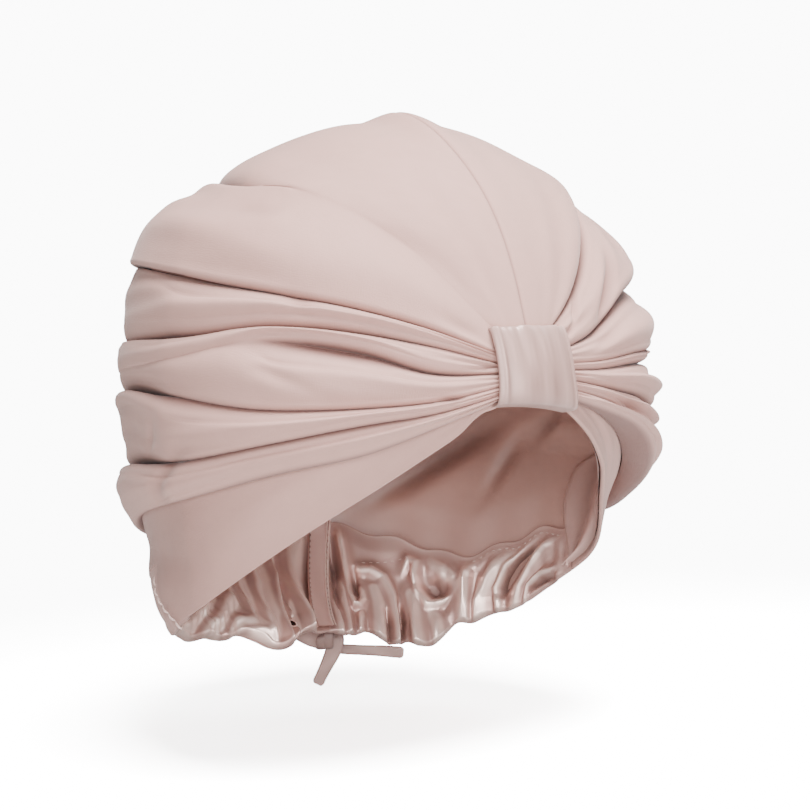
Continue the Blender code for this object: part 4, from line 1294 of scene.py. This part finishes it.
def facing_points(side):
    """Grid of one facing, and its painted shading: level lines from the band's lower edge to the
    facing's own edge, just inside the lining, with a few upright folds, painted lighter on their
    crests and darker between them."""
    elevation = np.linspace(FACING_TOP, FACING_BOTTOM, 90)[:, None]
    front = np.interp(-elevation, [-value for value in EDGE_ELEVATION], STATIONS) + 1.0
    back = curve_through(elevation, FACING_EDGE_ELEVATION, FACING_EDGE)
    share = np.linspace(0, 1, 70)
    azimuth = front + (back - front) * share
    lean = 0.12 * (elevation + 18) / 12
    fold = (0.9 * bell(share, 0.40 + lean, 0.16) - 0.7 * bell(share, 0.70 + lean, 0.13)
            - 0.5 * bell(share, 0.13, 0.10))
    offset = -0.0056 - 0.0010 * fold + 0.0032 * bell(share, 0, 0.16) + 0.0016 * share**30
    offset = np.minimum(offset + 0.0050 * np.exp((elevation - FACING_TOP) / 1.2), -0.0027)
    offset = offset - edge_tuck(azimuth, elevation)
    return form_point(direction(side * azimuth, elevation), offset), 0.5 + 0.34 * fold


class TURBAN_OT_tape(bpy.types.Operator):
    """Make the tape over the centre back seam"""

    bl_idname = "turban.tape"
    bl_label = "Seam tape"

    def execute(self, context):
        # The tape's satin is a lighter copy: painted light in the casing's shade
        satin = soft_satin("tape_satin", context.scene.turban, 1.25, (0.3, 1.7), 0.25)
        piece = add_cloth("seam_tape_cloth", tape_points(), satin, ["seam_tape"], flip=True)
        return {"FINISHED"}


def tape_lean(share):
    """How far the tape leans aside in degrees, at a share of its height. It bows a little."""
    return TAPE_LEAN * share * (1.19 - 0.26 * share)


def tape_azimuth(across, elevation):
    """Azimuth on the tape at a share of its width from its middle."""
    level = form_radius(direction(180, elevation)) * np.cos(np.radians(elevation))
    lean = tape_lean((elevation - TAPE_FOOT) / TAPE_HEIGHT)
    return 180 - lean - np.degrees(across * TAPE_WIDTH / level)


TAPE_OFFSET = -0.0092
TAPE_CORD = 0.0008      # height of its two cords


def tape_points():
    """Grid of the tape, and its painted shading: a strip up the centre back that leans as it rises,
    with rounded edges and two raised cords along one of them."""
    elevation = np.linspace(TAPE_FOOT + TAPE_HEIGHT + 5, TAPE_FOOT - 2.6, 120)[:, None]
    across = np.linspace(-0.5, 0.5, 61)
    ridge = bell(across, 0.42, 0.04) + 0.8 * bell(across, 0.30, 0.035)
    line = bell(across, 0.36, 0.02) + 0.8 * bell(across, -0.44, 0.025)
    edges = 0.0014 * np.abs(2 * across)**14
    soft = np.sin(3 * across + elevation / 5)
    offset = TAPE_OFFSET - TAPE_CORD * ridge + edges + 0.0003 * soft
    # Painted highlight on the cords, darker along two lines and up the tape's upper part
    painted_shading = 0.48 + 0.38 * ridge - 0.45 * line + 0.05 * soft - 0.1 * ease((elevation + 34) / 10)
    return form_point(direction(tape_azimuth(across, elevation), elevation), offset), painted_shading


# Ties

def towards_camera(rise=0.0):
    """Level direction from the turban to the camera, with a rise."""
    view = math.radians(CAMERA_AZIMUTH)
    return np.array([math.sin(view), -math.cos(view), rise])


RIBBON_THICKNESS = 0.0026
RIBBON_TIP = 0.8        # width of a tie's end in shares of its own
RIBBON_SIDES = 20


def ribbon_points(route, width, swell):
    """Grid of a flattened tube along a route, its path and its length: an oval with a crease,
    carried on frames that turn as little as they can, which narrows at its free end and is closed
    at both. swell is how much wider it is before that end."""
    run = run_along(route)
    length = run[-1]
    places = np.linspace(0, length, 150)
    path = np.stack([curve_through(places, run, column) for column in route.T], -1)
    tangent = unit(np.gradient(path, axis=0))
    out = towards_camera(0.1)
    thin = unit(out - (tangent @ out)[:, None] * tangent)
    wide = np.cross(tangent, thin)
    end = ease((length - places) / 0.0016) * (1 - RIBBON_TIP) + RIBBON_TIP
    end = np.where(places > length - 0.0003, end * 0.8, end)
    end = end * (1 + swell * ease((length - places - 0.004) / 0.018))
    turn = full_turn(RIBBON_SIDES)
    crease = 1 - 0.18 * bell(np.cos(turn), 0, 0.35)
    oval_x = rounded(np.cos(turn), 0.8) * width / 2
    oval_y = rounded(np.sin(turn), 0.9) * crease * RIBBON_THICKNESS / 2
    ring = (wide[:, None] * oval_x[:, None] * end[:, None, None] + thin[:, None] * oval_y[:, None])
    first, last = (np.repeat(spot[None], RIBBON_SIDES, 1) for spot in (path[:1], path[-1:]))
    return np.concatenate([first, path[:, None] + ring, last]), path, length


class TURBAN_OT_ties(bpy.types.Operator):
    """Make the two flat ties"""

    bl_idname = "turban.ties"
    bl_label = "Ties"

    def execute(self, context):
        settings = context.scene.turban
        width = settings.tie_width
        for name, route, swell in (("tie_right", TIE_RIGHT_ROUTE_MM, 0.42),
                                   ("tie_left", TIE_LEFT_ROUTE_MM, -0.12)):
            points, path, length = ribbon_points(np.array(route) / 1000, width, swell)
            share = np.linspace(0, 1, len(points))[:, None]
            turn = full_turn(points.shape[1])
            # Painted shade at the ribbon's edges and near the knot, with small waves lighter and
            # darker
            painted_shading = (0.56 - 0.30 * np.abs(np.cos(turn))**6 + 0.07 * np.sin(22 * share + 2 * turn)
                      - 0.30 * bell(share, 0.46, 0.14))
            piece = add_cloth(name + "_ribbon", (points, painted_shading),
                              tie_cloth(name + "_cloth", settings), [name], close_columns=True)
        return {"FINISHED"}


class TURBAN_OT_knot(bpy.types.Operator):
    """Make the knot that holds the ties"""

    bl_idname = "turban.knot"
    bl_label = "Knot"

    def execute(self, context):
        # The knot is the ties' satin at a lower tone: painted shade in the tight knot
        add_cloth("tie_knot_cloth", knot_points(),
                  tie_cloth("knot_cloth", context.scene.turban, 0.45), ["tie_knot"],
                  close_columns=True, flip=True)
        return {"FINISHED"}


KNOT_REACH = 0.0040     # how far the wrap's middle line stands out, and its half height
KNOT_HEIGHT = 0.0052
KNOT_WIDTH = 0.0027
KNOT_THICKNESS = 0.0010


def knot_points():
    """Grid of the knot, and its painted shading: a flat tube that goes one and a half times round
    the ties, on a helix, and tapers at both of its hidden ends."""
    centre = np.mean(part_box("tie_knot"), axis=0) + np.array(KNOT_SHIFT)
    out = towards_camera()
    level = np.cross(UPWARD, out)
    turn = np.linspace(0.35 * math.pi, 3.25 * math.pi, 150)[:, None]
    spiral = turn / (2 * math.pi) - 0.9
    ring = (centre + out * np.sin(turn) * KNOT_REACH
            + UPWARD * (np.cos(turn) * KNOT_HEIGHT + 0.0006)
            + level * (0.0034 * spiral + 0.0012 * np.cos(turn)))
    outward = out * np.sin(turn) + UPWARD * np.cos(turn)
    small = full_turn(24)
    ends = ease((turn - turn[0]) / 0.5) * ease((turn[-1] - turn) / 0.5) * 0.96 + 0.04
    wide = KNOT_WIDTH * rounded(np.cos(small), 0.8) * ends
    thick = KNOT_THICKNESS * np.sin(small) * ends
    points = ring[:, None] + level * wide[..., None] + outward[:, None] * thick[..., None]
    # Painted shade at the edges of the flat tube, with waves lighter and darker along it
    painted_shading = 0.5 - 0.35 * np.abs(np.cos(small))**8 + 0.12 * np.sin(3 * turn + small)
    return points, painted_shading


# Stitches

def stitch_row(path, normals, length, gap, thickness):
    """Stitches along a path: small capsules, each a tapered six-sided tube, laid end to end with
    gaps. Gives the points of all of them, as a stack of small grids."""
    run = run_along(path)
    count = max(int(run[-1] / (length + gap)), 1)
    starts = (np.arange(count) + 0.5) * run[-1] / count - length / 2
    taper = np.array([0.35, 0.85, 1.0, 1.0, 0.85, 0.35])
    steps = np.linspace(0, 1, len(taper))
    places = starts[:, None] + steps * length
    spots, up = (np.stack([np.interp(places, run, column) for column in line.T], -1)
                 for line in (path, normals))
    side = np.cross(up, unit(spots[:, -1:] - spots[:, :1]))
    turn = full_turn(6)[:, None]
    arch = np.sin(math.pi * steps)[None, :, None] * thickness * 0.6
    ring = side[:, :, None] * np.cos(turn) + up[:, :, None] * np.sin(turn)
    return (spots + up * arch)[:, :, None] + ring * (taper * thickness / 2)[None, :, None, None]


def stitches_mesh(name, stacks):
    """Mesh of many small tubes given as stacks of rings, with their ends closed."""
    rings = np.concatenate(stacks)
    index = np.arange(rings.size // 3).reshape(rings.shape[:3])
    wrapped = np.concatenate([index, index[:, :, :1]], axis=2)
    quads = np.stack([wrapped[:, :-1, :-1], wrapped[:, :-1, 1:], wrapped[:, 1:, 1:],
                      wrapped[:, 1:, :-1]], -1).reshape(-1, 4)
    caps = np.concatenate([index[:, 0, ::-1], index[:, -1]])
    mesh = bpy.data.meshes.new(name)
    mesh.from_pydata(rings.reshape(-1, 3).tolist(), [], quads.tolist() + caps.tolist())
    mesh.uv_layers.new(name="cloth")
    set_painted_shading(mesh, np.full(index.size, 0.5))
    mesh.shade_smooth()
    return mesh


# Line of the tack stitches along the band's back end: azimuth, elevation
TACK_LINE = ((107.5, -24.2), (106.6, -25.6), (104.8, -27.6), (102.2, -29.6), (100.0, -31.0),
             (98.2, -32.4), (97.0, -33.8))

# Rows of stitches along the casing's facing: first and last azimuth, and how far they are below
# its upper edge, or how far up it, in shares of CASING_HEIGHT
FACING_STITCHES = ((98, 127, {"below": 0.10}), (144, 158, {"up": 1.33}),
                   (196, 262, {"below": 0.10}))

# Tack stitches on each side: side, how far they stand out, and how many points of the line
TACK_ENDS = ((-1, 0.0008, 60), (1, 0.0014, 32))

# Rows of stitches on the tape: share of its width from its middle, and depth inside the form
TAPE_STITCHES = ((-0.44, 0.0094), (0.36, 0.0098))


class TURBAN_OT_stitches(bpy.types.Operator):
    """Make the stitches of the casing's facing, the tape and the band's ends"""

    bl_idname = "turban.stitches"
    bl_label = "Stitches"

    def execute(self, context):
        settings = context.scene.turban
        length = settings.stitch_length
        fine, thick = 0.0004, 0.0010
        stacks = []
        for start, stop, place in FACING_STITCHES:
            path = facing_line(np.linspace(start, stop, 160), settings, **place)[0]
            ray = unit(path - FORM_CENTRE)
            stacks.append(stitch_row(path - 0.0003 * ray, -ray, 0.8 * length, 0.0018, fine))
        tack = np.array(TACK_LINE)
        steps = np.linspace(0, len(tack) - 1, 60)
        azimuth, elevation = (curve_through(steps, np.arange(len(tack)), column)
                              for column in tack.T)
        for side, lift, count in TACK_ENDS:
            ray = direction(side * azimuth, elevation)
            path = form_point(ray, 0.0004 - edge_tuck(azimuth, elevation) + lift)[:count]
            stacks.append(stitch_row(path, ray[:count], 2.2 * length, 0.0001, thick))
        elevation = np.linspace(-23, -52, 150)
        for across, depth in TAPE_STITCHES:
            ray = direction(tape_azimuth(across, elevation), elevation)
            stacks.append(stitch_row(form_point(ray, -depth), -ray, length, 0.0010, fine))
        add_piece("stitches", stitches_mesh("stitches", stacks),
                  [plain_thread("stitch_thread", settings)])
        return {"FINISHED"}


# Half sizes of the eyelet in metres: its rim's and its hole's, across and up
EYELET_RIM = (0.0023, 0.0014)
EYELET_HOLE = (0.0020, 0.0012)
EYELET_OUT = 0.0022     # how far its rim stands out, its cord's half thickness, the hole's depth
EYELET_CORD = 0.0006
EYELET_DEPTH = 0.0016


class TURBAN_OT_eyelet(bpy.types.Operator):
    """Make the worked eyelet in the casing, from which the tie comes"""

    bl_idname = "turban.eyelet"
    bl_label = "Eyelet"

    def execute(self, context):
        settings = context.scene.turban
        rim, cup = eyelet_points(settings)
        add_cloth("eyelet_rim", (rim, 0.75), soft_satin("eyelet_satin", settings),
                  close_columns=True)
        add_cloth("eyelet_hole", (cup, 0.5), hole_shade("eyelet_shade"))
        return {"FINISHED"}


def eyelet_points(settings):
    """Grids of the eyelet's rim and of its hole, which face the camera: a flattened ring of
    overcast stitches, and a shallow cup behind it."""
    azimuth, up = (np.array([value]) for value in EYELET_PLACE)
    full = settings.ruffle_depth / RUFFLE_DEPTH
    centre = casing_row(azimuth, up, 1.0, full, np.array([2.0]))[0][0]
    out = unit(towards_camera(0.35))
    level = unit(np.cross(UPWARD, out))
    upward = np.cross(out, level)
    spot = centre + out * EYELET_OUT
    around = full_turn(64)[:, None]
    small = full_turn(14)
    reach = 1 + 0.22 * np.cos(small)
    stitched = 1 + 0.15 * np.sin(24 * around)
    across, high = EYELET_RIM
    rim = (spot + level * (across * np.cos(around) * reach)[..., None]
           + upward * (high * np.sin(around) * reach - 0.0006 * np.cos(around))[..., None]
           + out * (EYELET_CORD * np.sin(small) * stitched)[..., None])
    depth = np.linspace(0, 1, 12)[:, None, None]
    turn = np.linspace(0, 2 * math.pi, 48)[:, None]
    across, high = EYELET_HOLE
    cup = (spot - out * EYELET_DEPTH * depth**2 + level * across * (1 - depth) * np.cos(turn)
           + upward * (1 - depth) * (high * np.sin(turn) - 0.0005 * np.cos(turn)))
    return np.concatenate([rim, rim[:1]]), cup


# Stage

# Each light's name, its place from the point aimed at in metres back, right and up, its size in
# metres and its power in watts
LIGHTS = (
    ("key", (0.55, 0.26, 1.25), (0.9, 0.7), 77),
    ("left_strip", (1.1, -0.60, -0.05), (0.22, 0.8), 6),
    ("right_strip", (1.1, 0.62, -0.10), (0.22, 0.8), 12),
    ("front", (1.5, 0.10, 0.30), (0.5, 0.25), 12),
    ("rim", (-0.6, 0.9, 0.9), (0.8, 0.8), 8),
)


FLOOR_GAP = 0.012
FLOOR_REACH = 4.0


def camera_axes():
    """The camera's own back, the level direction to its right, what is up between them, and the
    point that it aims at."""
    view = math.radians(CAMERA_AZIMUTH)
    back = Vector(direction(CAMERA_AZIMUTH, CAMERA_ELEVATION))
    right = Vector((math.cos(view), math.sin(view), 0))
    aim = right * CAMERA_SHIFT + Vector((0, 0, CAMERA_AIM_HEIGHT))
    return back, right, back.cross(right), aim


def add_camera(scene):
    """Camera at the photograph's place, rolled about its own axis."""
    back, right, up, aim = camera_axes()
    roll = math.radians(CAMERA_ROLL)
    camera = bpy.data.cameras.new("photo_camera")
    camera.lens = camera.sensor_width * CAMERA_DISTANCE / FRAME_WIDTH
    camera.clip_start = 0.05
    holder = link_object("photo_camera", camera)
    axes = Matrix((right * math.cos(roll) - up * math.sin(roll),
                   right * math.sin(roll) + up * math.cos(roll), back)).transposed()
    holder.matrix_world = Matrix.Translation(aim + back * CAMERA_DISTANCE) @ axes.to_4x4()
    scene.camera = holder


def add_lights():
    """Soft area lights, all turned to the point aimed at."""
    back, right, up, aim = camera_axes()
    for name, (behind, beside, above), size, power in LIGHTS:
        light = bpy.data.lights.new(name, "AREA")
        light.shape = "RECTANGLE"
        light.size, light.size_y = size
        light.energy = power
        lamp = link_object(name, light)
        lamp.location = aim + back * behind + right * beside + up * above
        lamp.rotation_euler = (aim - lamp.location).to_track_quat("-Z", "Y").to_euler()


def seen_by_camera(tree, seen, unseen):
    """Mix of two shaders, one for what the camera sees and one for the light that it gives."""
    ray = add_node(tree, "LightPath", {}).outputs["Is Camera Ray"]
    return add_node(tree, "MixShader", {0: ray, 1: unseen, 2: seen}).outputs[0]


def add_sky(scene):
    """Plain sky that is bright behind the turban and gives little light."""
    world = bpy.data.worlds.new("studio")
    world.use_nodes = True
    tree = world.node_tree
    white = (1, 1, 1, 1)
    lit = tree.nodes["Background"]
    set_inputs(tree, lit, {"Color": white, "Strength": 0.14})
    seen = add_node(tree, "Background", {"Color": white, "Strength": BACKDROP})
    both = seen_by_camera(tree, seen.outputs[0], lit.outputs[0])
    set_inputs(tree, tree.nodes["World Output"], {"Surface": both})
    scene.world = world


def add_floor():
    """Pale floor under the turban, which goes over into the backdrop with the distance."""
    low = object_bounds()[0][2] - FLOOR_GAP
    corners = [(x * FLOOR_REACH, y * FLOOR_REACH, low)
               for x, y in ((-1, -1), (1, -1), (1, 1), (-1, 1))]
    mesh = bpy.data.meshes.new("floor")
    mesh.from_pydata(corners, [], [(0, 1, 2, 3)])
    material, tree, shader = new_material("pale_floor")
    set_inputs(tree, shader, {"Base Color": (0.60, 0.60, 0.60, 1), "Roughness": 0.9,
                              "Specular IOR Level": 0.1})
    glow = add_node(tree, "Emission", {"Strength": BACKDROP})
    bright = add_node(tree, "BsdfDiffuse", {"Color": (FLOOR_GAIN, FLOOR_GAIN, FLOOR_GAIN, 1)})
    place = add_node(tree, "TexCoord", {}).outputs["Object"]
    distance = add_node(tree, "VectorMath", {0: place}, operation="LENGTH").outputs["Value"]
    far = add_node(tree, "MapRange", {"Value": distance, "From Min": 0.20, "From Max": 0.60,
                                      "To Min": 0.12}, interpolation_type="SMOOTHSTEP")
    spread = add_node(tree, "MixShader", {0: far.outputs["Result"], 1: bright.outputs[0],
                                          2: glow.outputs[0]})
    both = seen_by_camera(tree, spread.outputs[0], shader.outputs[0])
    set_inputs(tree, tree.nodes["Material Output"], {"Surface": both})
    mesh.materials.append(material)
    link_object("floor", mesh)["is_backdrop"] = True


class TURBAN_OT_stage(bpy.types.Operator):
    """Make the camera, the lights, the sky and the floor"""

    bl_idname = "turban.stage"
    bl_label = "Stage"

    def execute(self, context):
        add_camera(context.scene)
        add_lights()
        add_sky(context.scene)
        add_floor()
        return {"FINISHED"}


class TURBAN_PT_panel(bpy.types.Panel):
    """Lists the turban's pieces and settings"""

    bl_idname = "TURBAN_PT_panel"
    bl_label = "Sleep turban"
    bl_space_type = "VIEW_3D"
    bl_region_type = "UI"
    bl_category = "Turban"

    def draw(self, context):
        for name in TurbanSettings.__annotations__:
            self.layout.prop(context.scene.turban, name)
        for operator in OPERATORS:
            self.layout.operator(operator.bl_idname)


OPERATORS = (TURBAN_OT_stage, TURBAN_OT_ties, TURBAN_OT_knot, TURBAN_OT_crown, TURBAN_OT_band,
             TURBAN_OT_loop, TURBAN_OT_lining, TURBAN_OT_casing, TURBAN_OT_facing, TURBAN_OT_tape,
             TURBAN_OT_stitches, TURBAN_OT_eyelet)
CLASSES = (TurbanSettings, *OPERATORS, TURBAN_PT_panel)


def register():
    for entry in CLASSES:
        bpy.utils.register_class(entry)
    bpy.types.Scene.turban = PointerProperty(type=TurbanSettings)


def unregister():
    del bpy.types.Scene.turban
    for entry in reversed(CLASSES):
        bpy.utils.unregister_class(entry)


def main():
    register()
    for operator in OPERATORS:
        group, name = operator.bl_idname.split(".")
        getattr(getattr(bpy.ops, group), name)()


if __name__ == "__main__":
    main()
